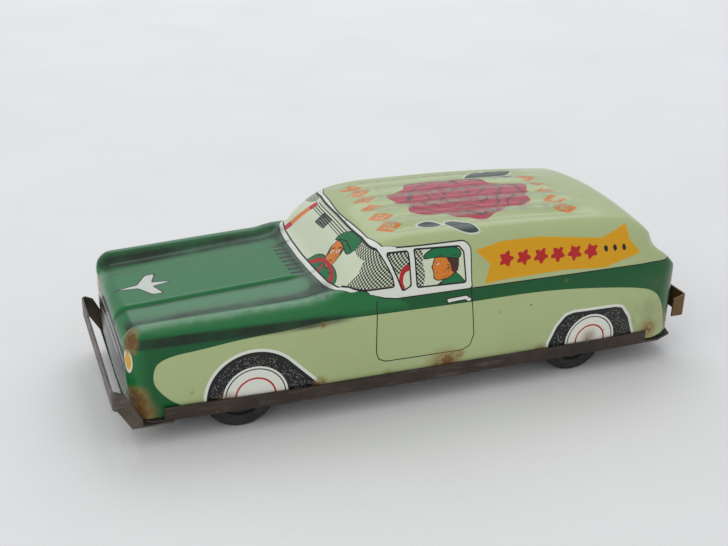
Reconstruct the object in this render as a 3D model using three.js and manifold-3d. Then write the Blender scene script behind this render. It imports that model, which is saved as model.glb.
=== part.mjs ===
// Friction-drive tin car: a delivery van in pressed, printed tin with a geared flywheel motor on its rear axle.
//
// Millimetres. +Z is up, -Y is the front of the car and +X its left side. The origin is on the ground,
// under the middle of the car's overall length.
//
// The body is one sheet of tin, drawn over a die. Its base is a tray of the same tin, with a rim outside the
// body's lower edge, and carries two bumpers, two axles and the motor.

import * as THREE from "three";
import { mergeVertices } from "three/addons/utils/BufferGeometryUtils.js";
import Module from "manifold-3d";

const wasm = await Module();
wasm.setup();

// ---------------------------------------------------------------- driving dimensions

const TIN = 0.45; // gauge of the sheet in the body, base and bumpers
const FIXED_GAP = 0.3; // clearance between two pieces that don't move on each other
const RUN_GAP = 0.05; // radial clearance of a shaft that turns in a hole

const BODY_LENGTH = 144.4; // front face to rear face
const BODY_WIDTH = 53.8; // across the doors
const ROOF_Z = 43.8; // highest line of the roof above the ground
const BELT_Z = 29.3; // lower edge of the windows
const FLOOR_DROP = 2.65; // middle of the axles down to the underside of the base

const NOSE_Z = 27.4; // bonnet, at its front
const COWL_Z = 30.3; // bonnet, at the windscreen
const NOSE_TAPER = 1.1; // how much narrower each side is at the nose
const TAIL_TAPER = 0.6;
const COWL_SETBACK = 48.5; // front face to the foot of the windscreen
const SCREEN_RAKE = 0.737; // how far the windscreen leans back for each mm of height
const TAIL_SETBACK = 7.2; // rear face of the body to the foot of the van's rear panel
const TUMBLEHOME = 0.1875; // how far the upper sides lean in for each mm of height
const RIDGE_INSET = 2.8; // side of the body to the top of the wing's ridge
const RIDGE_RISE = 2.4; // wing ridge above the valley beside it
const BONNET_STEP = 0.7; // height of the raised middle of the bonnet
const BONNET_HALF = 9.5; // half the width of that raised middle
const CREASE_Z = 25.3; // groove along the shoulder, beside the bonnet
const CREASE_DEPTH = 0.9;
const RIB_PITCH = 7.1; // lengthwise ribs pressed in the roof
const RIB_DEPTH = 0.35;

const RIM_HEIGHT = 3.3; // rim of the base, outside the body
const RIM_SETBACK = 7.7; // front face of the body to the front end of the rim
const RIM_TAIL = 11.2; // rear face of the body to the rear end of the rim

const WHEEL_RADIUS = 8.75;
const TYRE_WIDTH = 5;
const HUB_RADIUS = 5.4; // the pressed disc inside the tyre
const HUB_WIDTH = 3.2;
const AXLE_RADIUS = 0.95;
const WHEEL_SIDE_GAP = 2.4; // outer face of a tyre to the side of the body
const WHEEL_ROOM = 0.9; // clearance round a wheel in the base
const FRONT_OVERHANG = 25.9; // front face of the body to the front axle
const WHEELBASE = 87.8;

const BUMPER_STANDOFF = 3.55; // outer face of a bumper to the face of the body
const BUMPER_BEND = 1.2; // corner of a bumper, at each end of its strip
const FRONT_BUMPER = { inset: 0.3, z: 10.4, height: 4.8, armTop: 2.9, foot: 6.4 };
const REAR_BUMPER = { inset: 3.9, z: 10.1, height: 5.9, armTop: 4, foot: 3, legX: 10, legWidth: 4 };

const MODULE = 0.5; // tooth size of the motor's gears
const DRIVE_TEETH = 24;
const PINION_TEETH = 10;
const IDLER_TEETH = 26;
const GEAR_THICKNESS = 1.6;
const MESH_GAP = 0.1; // added to each pair's centre distance
const IDLER_ANGLE = 50; // degrees above the level, from the rear axle forwards
const FLYWHEEL_ANGLE = 10; // degrees above the level, from the idler forwards
const ARBOR_RADIUS = 0.75;
const FLYWHEEL_RADIUS = 7.8;
const FLYWHEEL_WIDTH = 8;
const FRAME_HALF = 8.6; // middle of the motor to the inner face of a side plate
const FRAME_TIN = 0.6;

// ---------------------------------------------------------------- sizes that follow from them

const HALF_WIDTH = BODY_WIDTH / 2;
const FRONT_Y = -BODY_LENGTH / 2;
const REAR_Y = BODY_LENGTH / 2;
const COWL_Y = FRONT_Y + COWL_SETBACK;
const TAIL_Y = REAR_Y - TAIL_SETBACK;
const FLOOR_Z = WHEEL_RADIUS - FLOOR_DROP;
const FLOOR_TOP = FLOOR_Z + TIN;
const BODY_FOOT = FLOOR_TOP + FIXED_GAP; // lower edge of the body
const FRONT_AXLE_Y = FRONT_Y + FRONT_OVERHANG;
const REAR_AXLE_Y = FRONT_AXLE_Y + WHEELBASE;
const TYRE_OUTER_X = HALF_WIDTH - WHEEL_SIDE_GAP;
const TYRE_MID_X = TYRE_OUTER_X - TYRE_WIDTH / 2;

// ---------------------------------------------------------------- colours and finishes

const finish = (color, roughness, metalness) => new THREE.MeshStandardMaterial({ color, roughness, metalness });
const BODY_GREEN = finish(0x2f8a50, 0.3, 0.1);
const BASE_BROWN = finish(0x4a3a34, 0.5, 0.5);
const BUMPER_TIN = finish(0x6e6154, 0.5, 0.7);
const BARE_TIN = finish(0xa9a9a4, 0.4, 0.9);
const STEEL = finish(0x8f9092, 0.35, 1.0);
const BRASS = finish(0xb08d4a, 0.4, 1.0);
const LEAD = finish(0x6f7276, 0.6, 0.9);
const RUBBER = finish(0x1b1a1a, 0.85, 0.0);

// ---------------------------------------------------------------- solids

// A closed geometry as a manifold-3d solid.
function solidOf(geometry) {
  const bare = geometry.index ? geometry.toNonIndexed() : geometry.clone();
  bare.deleteAttribute("normal");
  bare.deleteAttribute("uv");
  const merged = mergeVertices(bare, 1e-4);
  const mesh = new wasm.Mesh({
    numProp: 3,
    vertProperties: merged.attributes.position.array,
    triVerts: new Uint32Array(merged.index.array),
  });
  return new wasm.Manifold(mesh);
}

function geometryOf(solid) {
  const mesh = solid.getMesh();
  const points = new Float32Array(mesh.numVert * 3);
  for (let i = 0; i < mesh.numVert; i++) {
    points.set(mesh.vertProperties.subarray(i * mesh.numProp, i * mesh.numProp + 3), i * 3);
  }
  const geometry = new THREE.BufferGeometry();
  geometry.setAttribute("position", new THREE.BufferAttribute(points, 3));
  geometry.setIndex(new THREE.BufferAttribute(new Uint32Array(mesh.triVerts), 1));
  geometry.computeVertexNormals();
  return geometry;
}

function union(geometries) {
  return geometryOf(geometries.map(solidOf).reduce((whole, next) => whole.add(next)));
}

function cut(geometry, tools) {
  return geometryOf(tools.map(solidOf).reduce((whole, tool) => whole.subtract(tool), solidOf(geometry)));
}

function box(x0, x1, y0, y1, z0, z1) {
  const geometry = new THREE.BoxGeometry(x1 - x0, y1 - y0, z1 - z0);
  return geometry.translate((x0 + x1) / 2, (y0 + y1) / 2, (z0 + z1) / 2);
}

// A solid of revolution about X. The profile is a list of [radius, x], closed on itself or on the axis.
function turned(profile, segments = 32) {
  const points = profile.map(([r, x]) => new THREE.Vector2(r, x));
  return new THREE.LatheGeometry(points, segments).rotateZ(-Math.PI / 2);
}

// A ring about X, from x0 to x1.
function ring(outer, inner, x0, x1, segments = 32) {
  return turned([[inner, x0], [outer, x0], [outer, x1], [inner, x1], [inner, x0]], segments);
}

function rod(radius, x0, x1, segments = 16) {
  return turned([[0, x0], [radius, x0], [radius, x1], [0, x1]], segments);
}

// An outline in the side view, a list of [y, z], pressed out of sheet between x0 and x1.
function plate(outline, x0, x1, holes = []) {
  const shape = new THREE.Shape(outline.map(([y, z]) => new THREE.Vector2(y, z)));
  for (const [y, z, radius] of holes) {
    shape.holes.push(new THREE.Path().absarc(y, z, radius, 0, 2 * Math.PI, true));
  }
  const geometry = new THREE.ExtrudeGeometry(shape, { depth: x1 - x0, bevelEnabled: false, curveSegments: 8 });
  // The shape's own x and y become the car's Y and Z.
  const turn = new THREE.Matrix4().makeBasis(
    new THREE.Vector3(0, 1, 0), new THREE.Vector3(0, 0, 1), new THREE.Vector3(1, 0, 0));
  return geometry.applyMatrix4(turn).translate(x0, 0, 0);
}

// An outline in plan, a list of [x, y], from z0 to z1.
function slab(outline, z0, z1) {
  const shape = new THREE.Shape(outline.map(([x, y]) => new THREE.Vector2(x, y)));
  return new THREE.ExtrudeGeometry(shape, { depth: z1 - z0, bevelEnabled: false }).translate(0, 0, z0);
}

// ---------------------------------------------------------------- shape of the body

const clamp = (t, low, high) => Math.min(Math.max(t, low), high);
const mix = (a, b, t) => a + (b - a) * t;

function ramp(from, to, t) {
  const s = clamp((t - from) / (to - from), 0, 1);
  return s * s * (3 - 2 * s);
}

// Two faces meeting in an outside corner of radius r, and in an inside corner of radius r.
const outside = (a, b, r) => Math.min(Math.max(a, b), -r) + Math.hypot(Math.max(a + r, 0), Math.max(b + r, 0));
const inside = (a, b, r) => Math.max(Math.min(a, b), r) - Math.hypot(Math.max(r - a, 0), Math.max(r - b, 0));

// Half the body's width at its lower edge, in plan.
function halfWidth(y) {
  const nose = ramp(FRONT_Y + 42, FRONT_Y, y);
  const tail = ramp(REAR_Y - 30, REAR_Y, y);
  return HALF_WIDTH - NOSE_TAPER * nose - TAIL_TAPER * tail;
}

// Half the body's width at a height: upright doors, a groove beside the bonnet and a slight lean at the belt.
function sideX(y, z) {
  const bonnet = 1 - ramp(COWL_Y - 2, COWL_Y + 12, y);
  const groove = CREASE_DEPTH * ramp(CREASE_Z - 1, CREASE_Z + 0.4, z) * bonnet;
  const lean = 0.6 * ramp(CREASE_Z - 1, BELT_Z, z) * (1 - bonnet);
  return halfWidth(y) - groove - lean;
}

// The bonnet: a raised middle, a valley each side, and a rounded ridge on each wing.
function bonnetZ(x, y) {
  const along = clamp((y - FRONT_Y) / COWL_SETBACK, 0, 1);
  const off = Math.abs(x);
  const ridgeX = halfWidth(y) - RIDGE_INSET;
  const step = BONNET_STEP * (1 - ramp(COWL_Y - 7, COWL_Y - 1, y));
  const middle = mix(NOSE_Z, COWL_Z, along) - step * ramp(BONNET_HALF - 0.6, BONNET_HALF + 0.9, off);
  const valley = 0.6 * ramp(BONNET_HALF, ridgeX - 4, off);
  const ridge = RIDGE_RISE * mix(1, 0.6, along) * ramp(ridgeX - 4.5, ridgeX - 0.8, off);
  const shelf = 3 * ramp(TAIL_Y - 4, REAR_Y, y);
  return middle - valley + ridge - shelf;
}

function roofZ(x, y) {
  const front = 0.0095 * Math.min(y, 0) ** 2;
  const rear = 0.0012 * Math.max(y - 12, 0) ** 2;
  const ribbed = ramp(-12, -4, y) * (1 - ramp(38, 48, y)) * (1 - ramp(17, 20, Math.abs(x)));
  const rib = RIB_DEPTH * Math.cos((2 * Math.PI * x) / RIB_PITCH) * ribbed;
  return ROOF_Z - 0.005 * x * x - front - rear + rib;
}

// Negative inside the body, zero on its outer face, and close to a distance in mm.
function bodyField(x, y, z) {
  const off = Math.abs(x);
  const side = off - sideX(y, z);
  const nose = FRONT_Y + 0.0008 * x * x + 0.05 * Math.max(15 - z, 0) - y;
  const stern = y - (REAR_Y - 0.0012 * x * x);
  let lower = outside(side, z - bonnetZ(x, y), 2.6);
  lower = outside(lower, nose, mix(3, 4.2, clamp(off / HALF_WIDTH, 0, 1)));
  lower = outside(lower, stern, 8);

  const upperSide = off - (HALF_WIDTH - 0.8 - TUMBLEHOME * Math.max(z - BELT_Z, -3));
  const screen = (COWL_Y + SCREEN_RAKE * (z - COWL_Z) + 0.0013 * x * x - y) * 0.805;
  const panel = (y - (TAIL_Y - 0.35 * Math.max(z - BELT_Z, -3))) * 0.94;
  let upper = outside(upperSide, screen, 5.5);
  upper = outside(upper, z - roofZ(x, y), 4);
  upper = outside(upper, panel, 7);

  return inside(lower, upper, mix(2.5, 0.25, ramp(HALF_WIDTH - 7, HALF_WIDTH - 2, off)));
}

// ---------------------------------------------------------------- body shell

// The tin starts as a flat sheet, a cross of five panels: top, two sides, nose and tail. Each point of the sheet
// is carried outwards from a core inside the body until it meets the body's face.
const CORE_X = 13;
const CORE_NOSE = FRONT_Y + 12;
const CORE_TAIL = REAR_Y - 14;
const REACH = 60;

// The core's top is high under the roof, and low under the bonnet and the deck behind the van's rear panel.
function coreTop(y) {
  const underRoof = mix(15, ROOF_Z - 17.8, ramp(COWL_Y - 6, COWL_Y + 10, y));
  return underRoof - 9 * ramp(TAIL_Y - 12, REAR_Y - 2, y);
}

function pressed(x, y, z, depth) {
  const from = [clamp(x, -CORE_X, CORE_X), clamp(y, CORE_NOSE, CORE_TAIL), clamp(z, BODY_FOOT, coreTop(y))];
  const way = [x - from[0], y - from[1], z - from[2]];
  const length = Math.hypot(...way);
  const at = (t) => from.map((start, i) => start + (way[i] / length) * t);
  let near = 0;
  let far = REACH;
  for (let step = 0; step < 40; step++) {
    const middle = (near + far) / 2;
    if (bodyField(...at(middle)) < -depth) near = middle;
    else far = middle;
  }
  return at(near);
}

function evenly(from, to, count) {
  return Array.from({ length: count + 1 }, (_, i) => mix(from, to, i / count));
}

// Lines of the sheet: closer together where the body bends.
function sheetLines() {
  const ribs = evenly(-2.5 * RIB_PITCH, 2.5 * RIB_PITCH, 10).filter((x) => Math.abs(x) < HALF_WIDTH - 8);
  const edge = [0, 2.2, 4.4, 6.6].map((inset) => HALF_WIDTH - inset);
  const across = [...edge.map((x) => -x), ...ribs, ...edge.reverse()];
  const along = [
    FRONT_Y, FRONT_Y + 1.5, FRONT_Y + 3.5, FRONT_Y + 7, ...evenly(FRONT_Y + 13, COWL_Y - 4, 3),
    ...evenly(COWL_Y - 1.5, COWL_Y + 12.5, 6), COWL_Y + 16,
    ...evenly(COWL_Y + 21, TAIL_Y - 16, 5), TAIL_Y - 11, TAIL_Y - 7, TAIL_Y - 4,
    ...evenly(TAIL_Y - 1.5, REAR_Y, 5),
  ];
  const up = (y) => {
    const top = mix(NOSE_Z, ROOF_Z, ramp(COWL_Y - 4, COWL_Y + 10, y)) * (1 - 0.38 * ramp(TAIL_Y - 6, REAR_Y, y));
    const shoulder = CREASE_Z + 0.4;
    const low = [0, 0.35, 0.7, 1].map((share) => mix(BODY_FOOT, CREASE_Z - 1, share));
    return [...low, ...[0, 0.35, 0.6, 0.8, 1].map((share) => mix(shoulder, top, share))];
  };
  return { across, along, up };
}

// One skin of the body as a list of quads, each four points, all facing out.
function skin(depth) {
  const { across, along, up } = sheetLines();
  const rows = up(0).length;
  const on = (x, y, z) => pressed(x, y, z, depth);
  const quads = [];
  const patch = (columns, lines, point) => {
    for (let i = 0; i < columns; i++) {
      for (let j = 0; j < lines; j++) {
        quads.push([point(i, j), point(i + 1, j), point(i + 1, j + 1), point(i, j + 1)]);
      }
    }
  };
  const wide = across.length - 1;
  const long = along.length - 1;
  const high = rows - 1;
  const last = across.length - 1;
  patch(wide, long, (i, j) => on(across[i], along[j], up(along[j])[high]));
  patch(long, high, (i, j) => on(across[last], along[i], up(along[i])[j]));
  patch(long, high, (i, j) => on(across[0], along[long - i], up(along[long - i])[j]));
  patch(wide, high, (i, j) => on(across[i], along[0], up(along[0])[j]));
  patch(wide, high, (i, j) => on(across[last - i], along[long], up(along[long])[j]));
  const foot = [];
  for (let i = 0; i <= wide; i++) foot.push(on(across[i], along[0], BODY_FOOT));
  for (let j = 1; j <= long; j++) foot.push(on(across[last], along[j], BODY_FOOT));
  for (let i = last - 1; i >= 0; i--) foot.push(on(across[i], along[long], BODY_FOOT));
  for (let j = long - 1; j > 0; j--) foot.push(on(across[0], along[j], BODY_FOOT));
  return { quads, foot };
}

function bodyShell() {
  const outer = skin(0);
  const inner = skin(TIN);
  const points = [];
  const face = (a, b, c, d) => points.push(...a, ...b, ...c, ...a, ...c, ...d);
  for (const [a, b, c, d] of outer.quads) face(a, b, c, d);
  for (const [a, b, c, d] of inner.quads) face(b, a, d, c);
  outer.foot.forEach((here, i) => {
    const next = (i + 1) % outer.foot.length;
    face(here, inner.foot[i], inner.foot[next], outer.foot[next]);
  });
  const geometry = new THREE.BufferGeometry();
  geometry.setAttribute("position", new THREE.Float32BufferAttribute(points, 3));
  return union([geometry, ...bodyTabs()]);
}

// Tabs on the body's lower edge go through slots in the base and are bent inwards under it.
const TAB_WIDTH = 4;
const TAB_REACH = 3.4;
const TAB_YS = [FRONT_AXLE_Y + WHEELBASE * 0.28, FRONT_AXLE_Y + WHEELBASE * 0.73];
const TABS = TAB_YS.flatMap((y) => [-1, 1].map((hand) => ({ y, hand })));

function mirrored(hand, low, high) {
  return hand > 0 ? [low, high] : [-high, -low];
}

function bodyTabs() {
  return TABS.flatMap(({ y, hand }) => {
    const outerX = halfWidth(y) - 0.02;
    const [x0, x1] = mirrored(hand, outerX - TIN + 0.04, outerX);
    const [x2, x3] = mirrored(hand, outerX - TAB_REACH, outerX);
    const under = FLOOR_Z - FIXED_GAP;
    return [
      box(x0, x1, y - TAB_WIDTH / 2, y + TAB_WIDTH / 2, under - TIN / 2, BODY_FOOT + 0.6),
      box(x2, x3, y - TAB_WIDTH / 2, y + TAB_WIDTH / 2, under - TIN, under),
    ];
  });
}

// ---------------------------------------------------------------- base

const RIM_X = (y) => halfWidth(y) + FIXED_GAP;

// The base in plan, just outside the body. Its corners follow the body's.
function baseOutline() {
  const side = evenly(FRONT_Y + 5, REAR_Y - 7, 10).map((y) => [RIM_X(y) + TIN, y]);
  const nose = [[HALF_WIDTH - 8, FRONT_Y + 0.3], [RIM_X(FRONT_Y) - 2.2, FRONT_Y + 1.4]];
  const tail = [[RIM_X(REAR_Y) - 1.6, REAR_Y - 2.2], [HALF_WIDTH - 8, REAR_Y - 0.4]];
  const left = [...nose, ...side, ...tail];
  return [...left, ...left.map(([x, y]) => [-x, y]).reverse()];
}

function rim(hand) {
  const ys = evenly(FRONT_Y + RIM_SETBACK, REAR_Y - RIM_TAIL, 8);
  const inner = ys.map((y) => [hand * RIM_X(y), y]);
  const outer = ys.map((y) => [hand * (RIM_X(y) + TIN), y]).reverse();
  const outline = [...inner, ...outer];
  return slab(hand > 0 ? outline.reverse() : outline, FLOOR_Z, FLOOR_Z + RIM_HEIGHT);
}

// Ears bent up from the base carry the front axle.
const EAR_X = 15.5;
const EAR_HALF = 3;
const EAR_TOP = WHEEL_RADIUS + 3.4;
const AXLE_BORE = (AXLE_RADIUS + RUN_GAP) / Math.cos(Math.PI / 16);

function ear(hand) {
  const y = FRONT_AXLE_Y;
  const foot = Math.min(FLOOR_Z + TIN / 2, WHEEL_RADIUS - 2);
  const outline = [
    [y - EAR_HALF, foot], [y + EAR_HALF, foot],
    [y + EAR_HALF, EAR_TOP - 1.5], [y + EAR_HALF - 1.5, EAR_TOP],
    [y - EAR_HALF + 1.5, EAR_TOP], [y - EAR_HALF, EAR_TOP - 1.5],
  ];
  const [x0, x1] = mirrored(hand, EAR_X, EAR_X + TIN * 1.4);
  return plate(outline, x0, x1, [[y, WHEEL_RADIUS, AXLE_BORE]]);
}

// The drive gear reaches down through a slot in the base, and the motor frame's axle ears through two notches.
const MOTOR_SLOT_HALF = FRAME_HALF - 0.5;
const AXLE_EAR_HALF = 3;

function basePlate() {
  const floor = slab(baseOutline(), FLOOR_Z, FLOOR_TOP);
  const low = FLOOR_Z - 1;
  const high = FLOOR_TOP + 1;
  const openings = [];
  const chord = Math.sqrt(WHEEL_RADIUS ** 2 - (WHEEL_RADIUS - FLOOR_TOP) ** 2) + WHEEL_ROOM;
  for (const y of [FRONT_AXLE_Y, REAR_AXLE_Y]) {
    for (const hand of [-1, 1]) {
      const [x0, x1] = mirrored(hand, TYRE_OUTER_X - TYRE_WIDTH - WHEEL_ROOM, TYRE_OUTER_X + WHEEL_ROOM);
      openings.push(box(x0, x1, y - chord, y + chord, low, high));
    }
  }
  // Behind each ear is the hole that it was bent up from.
  for (const hand of [-1, 1]) {
    const [x0, x1] = mirrored(hand, EAR_X - 6, EAR_X - 0.2);
    openings.push(box(x0, x1, FRONT_AXLE_Y - EAR_HALF, FRONT_AXLE_Y + EAR_HALF, low, high));
  }
  for (const { y, hand } of TABS) {
    const outerX = halfWidth(y);
    const [x0, x1] = mirrored(hand, outerX - TIN - FIXED_GAP, outerX + FIXED_GAP / 2);
    openings.push(box(x0, x1, y - TAB_WIDTH / 2 - FIXED_GAP, y + TAB_WIDTH / 2 + FIXED_GAP, low, high));
  }
  const gearRoom = pitchRadius(DRIVE_TEETH) + MODULE + 2;
  openings.push(box(-MOTOR_SLOT_HALF, MOTOR_SLOT_HALF, REAR_AXLE_Y - gearRoom, REAR_AXLE_Y + gearRoom, low, high));
  const notchX = FRAME_HALF + FRAME_TIN + FIXED_GAP;
  const notchY = AXLE_EAR_HALF + FIXED_GAP;
  openings.push(box(-notchX, notchX, REAR_AXLE_Y - notchY, REAR_AXLE_Y + notchY, low, high));
  for (const [x, y] of rivetPlaces()) {
    openings.push(upright(rod(RIVET_RADIUS + FIXED_GAP / 2, -2, 2, 12)).translate(x, y, FLOOR_Z));
  }
  return union([cut(floor, openings), rim(-1), rim(1), ear(-1), ear(1)]);
}

// Turns a piece made about X to stand along Z.
function upright(geometry) {
  return geometry.rotateY(-Math.PI / 2);
}

// ---------------------------------------------------------------- bumpers

// Each bumper is a strip across the car. In its outlines, the first number of a point is how deep it lies: the
// distance from the bumper's outer face towards the car.
const FOOT_TOP = FLOOR_Z - FIXED_GAP;
const FOOT_Z = FOOT_TOP - TIN;
const FOOT_LENGTH = 7;

function deepOutline(end, outline) {
  const outerY = end * (BODY_LENGTH / 2 + BUMPER_STANDOFF);
  const points = outline.map(([deep, z]) => [outerY - end * deep, z]);
  return end < 0 ? points.reverse() : points;
}

function bumperStrip(end, halfLength, z0, z1) {
  const outerY = end * (BODY_LENGTH / 2 + BUMPER_STANDOFF);
  const bend = BUMPER_BEND;
  const corner = (inset) => [
    [halfLength - inset, outerY - end * bend],
    [halfLength - bend * 0.3 - inset * 0.7, outerY - end * (bend * 0.3 + inset * 0.7)],
    [halfLength - bend, outerY - end * inset],
  ];
  const other = (points) => points.map(([x, y]) => [-x, y]);
  const outline = [...corner(0), ...other(corner(0)).reverse(), ...other(corner(TIN)), ...corner(TIN).reverse()];
  return slab(end < 0 ? outline.reverse() : outline, z0, z1);
}

// At each end of the front bumper an arm turns back, runs down to the base and is folded under it.
function frontBumper() {
  const { inset, z, height, armTop, foot } = FRONT_BUMPER;
  const halfLength = HALF_WIDTH - inset;
  const arm = deepOutline(-1, [
    [BUMPER_BEND - 0.2, z], [BUMPER_BEND - 0.2, z + height], [armTop, z + height - 0.9],
    [foot, FLOOR_Z + 1], [foot, FOOT_Z], [foot - 2.4, FOOT_Z],
  ]);
  const fold = deepOutline(-1, [
    [foot - 2.4, FOOT_Z], [foot - 2.4, FOOT_TOP], [foot + FOOT_LENGTH, FOOT_TOP], [foot + FOOT_LENGTH, FOOT_Z],
  ]);
  const pieces = [bumperStrip(-1, halfLength, z, z + height)];
  for (const hand of [-1, 1]) {
    pieces.push(plate(arm, ...mirrored(hand, halfLength - TIN, halfLength)));
    pieces.push(plate(fold, ...mirrored(hand, halfLength - 5, halfLength)));
  }
  return union(pieces);
}

// The rear bumper's ends only turn back. Two legs, out of sight behind the body, run down and under the base.
function rearBumper() {
  const { inset, z, height, armTop, foot, legX, legWidth } = REAR_BUMPER;
  const halfLength = HALF_WIDTH - inset;
  const turnedBack = deepOutline(1, [
    [BUMPER_BEND - 0.2, z], [armTop, z], [armTop, z + height - 0.9], [BUMPER_BEND - 0.2, z + height],
  ]);
  const leg = deepOutline(1, [
    [0, z + 1], [0, z - 1.2], [foot - 0.4, FOOT_Z], [foot + FOOT_LENGTH, FOOT_Z], [foot + FOOT_LENGTH, FOOT_TOP],
    [foot, FOOT_TOP], [TIN, z - 1], [TIN, z + 1],
  ]);
  const pieces = [bumperStrip(1, halfLength, z, z + height)];
  for (const hand of [-1, 1]) {
    pieces.push(plate(turnedBack, ...mirrored(hand, halfLength - TIN, halfLength)));
    pieces.push(plate(leg, ...mirrored(hand, legX - legWidth / 2, legX + legWidth / 2)));
  }
  return union(pieces);
}

// ---------------------------------------------------------------- wheels and axles

function tyre() {
  const half = TYRE_WIDTH / 2;
  const inner = HUB_RADIUS + FIXED_GAP / 2;
  const wall = WHEEL_RADIUS - inner;
  const shoulder = WHEEL_RADIUS - wall * 0.37;
  const bead = inner + wall * 0.37;
  const profile = [
    [inner, -half + 0.7], [bead, -half], [shoulder, -half], [WHEEL_RADIUS - 0.3, -half + 0.8],
    [WHEEL_RADIUS, -half + 1.8], [WHEEL_RADIUS, half - 1.8], [WHEEL_RADIUS - 0.3, half - 0.8],
    [shoulder, half], [bead, half], [inner, half - 0.7], [inner, -half + 0.7],
  ];
  return turned(profile, 24);
}

// A pressed disc with a dished face and a raised boss, its open side inwards.
function hub() {
  const half = HUB_WIDTH / 2;
  const bore = AXLE_RADIUS + 0.12;
  const profile = [
    [bore, -half], [2.4, -half], [2.4, half - 1.4], [HUB_RADIUS - 1.2, half - 1.0], [HUB_RADIUS - 0.9, -half],
    [HUB_RADIUS, -half], [HUB_RADIUS, half - 0.3], [HUB_RADIUS - 0.7, half], [HUB_RADIUS - 1.8, half - 0.5],
    [2.2, half - 0.7], [1.9, half + 0.2], [bore, half + 0.2], [bore, -half],
  ];
  return turned(profile, 24);
}

function axle() {
  const end = TYRE_OUTER_X - 0.3;
  return turned([
    [0, -end], [AXLE_RADIUS - 0.25, -end], [AXLE_RADIUS, -end + 0.3],
    [AXLE_RADIUS, end - 0.3], [AXLE_RADIUS - 0.25, end], [0, end],
  ], 16);
}

// ---------------------------------------------------------------- motor

const radians = (degrees) => (degrees * Math.PI) / 180;
const pitchRadius = (teeth) => (teeth * MODULE) / 2;
const MOTOR_PITCH = pitchRadius(DRIVE_TEETH) + pitchRadius(PINION_TEETH) + MESH_GAP;
const IDLER_PITCH = pitchRadius(IDLER_TEETH) + pitchRadius(PINION_TEETH) + MESH_GAP;
const IDLER_AT = {
  y: REAR_AXLE_Y - MOTOR_PITCH * Math.cos(radians(IDLER_ANGLE)),
  z: WHEEL_RADIUS + MOTOR_PITCH * Math.sin(radians(IDLER_ANGLE)),
};
const FLYWHEEL_AT = {
  y: IDLER_AT.y - IDLER_PITCH * Math.cos(radians(FLYWHEEL_ANGLE)),
  z: IDLER_AT.z + IDLER_PITCH * Math.sin(radians(FLYWHEEL_ANGLE)),
};

// Planes of the gear train, from the middle of the motor towards -X.
const DRIVE_X = -6.2;
const IDLER_X = -3.6;

// An involute gear about X. Its first tooth points along +Y, turned by a share of one tooth's pitch.
function gear(teeth, x0, x1, bore, share) {
  const pitch = pitchRadius(teeth);
  const base = pitch * Math.cos(radians(20));
  const tip = pitch + 0.85 * MODULE;
  const root = pitch - 1.1 * MODULE;
  const thinning = 0.06 * MODULE; // backlash taken off each flank
  const involute = (r) => Math.tan(Math.acos(base / r)) - Math.acos(base / r);
  const halfAt = (r) => Math.PI / (2 * teeth) - thinning / pitch + involute(pitch) - involute(Math.max(r, base));
  const flank = [Math.max(base, root + 0.05), pitch, (pitch + tip) / 2, tip];
  const outline = [];
  for (let n = 0; n < teeth; n++) {
    const middle = ((n + share) * 2 * Math.PI) / teeth;
    const rootHalf = halfAt(base) + 0.02;
    outline.push([root, middle - rootHalf]);
    for (const r of flank) outline.push([r, middle - halfAt(r)]);
    for (const r of [...flank].reverse()) outline.push([r, middle + halfAt(r)]);
    outline.push([root, middle + rootHalf]);
  }
  const points = outline.map(([r, angle]) => [r * Math.cos(angle), r * Math.sin(angle)]);
  return plate(points, x0, x1, [[0, 0, bore]]);
}

const GEAR_BORE = AXLE_RADIUS + 0.14;
const ARBOR_BORE = ARBOR_RADIUS + 0.14;

function driveGear() {
  const boss = ring(2.4, GEAR_BORE, DRIVE_X - GEAR_THICKNESS / 2 - 0.9, DRIVE_X - GEAR_THICKNESS / 2 + 0.1, 16);
  const wheel = gear(DRIVE_TEETH, DRIVE_X - GEAR_THICKNESS / 2, DRIVE_X + GEAR_THICKNESS / 2, GEAR_BORE, 0);
  return geometryOf(solidOf(wheel).add(solidOf(boss)));
}

// Which way a pinion's teeth point so that one of its gaps faces the gear's tooth, as a share of its pitch.
// gearTurn is the angle of the gear's tooth 0 and toPinion the direction from the gear to the pinion.
function meshShare(gearTeeth, pinionTeeth, gearShare, toPinion) {
  const gearPhase = (toPinion * gearTeeth) / (2 * Math.PI) - gearShare;
  const away = ((toPinion + Math.PI) * pinionTeeth) / (2 * Math.PI);
  return away + gearPhase + 0.5;
}

const TO_IDLER = Math.PI - radians(IDLER_ANGLE);
const TO_FLYWHEEL = Math.PI - radians(FLYWHEEL_ANGLE);
const IDLER_PINION_SHARE = meshShare(DRIVE_TEETH, PINION_TEETH, 0, TO_IDLER);
const FLYWHEEL_PINION_SHARE = meshShare(IDLER_TEETH, PINION_TEETH, 0, TO_FLYWHEEL);

const idlerPinion = () => gear(
  PINION_TEETH, DRIVE_X - GEAR_THICKNESS / 2 - 0.3, DRIVE_X + GEAR_THICKNESS / 2 + 0.3, ARBOR_BORE, IDLER_PINION_SHARE);
const idlerGear = () => gear(IDLER_TEETH, IDLER_X - GEAR_THICKNESS / 2, IDLER_X + GEAR_THICKNESS / 2, ARBOR_BORE, 0);
const flywheelPinion = () => gear(
  PINION_TEETH, IDLER_X - GEAR_THICKNESS / 2 - 0.3, IDLER_X + GEAR_THICKNESS / 2 + 0.3, ARBOR_BORE, FLYWHEEL_PINION_SHARE);

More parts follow.
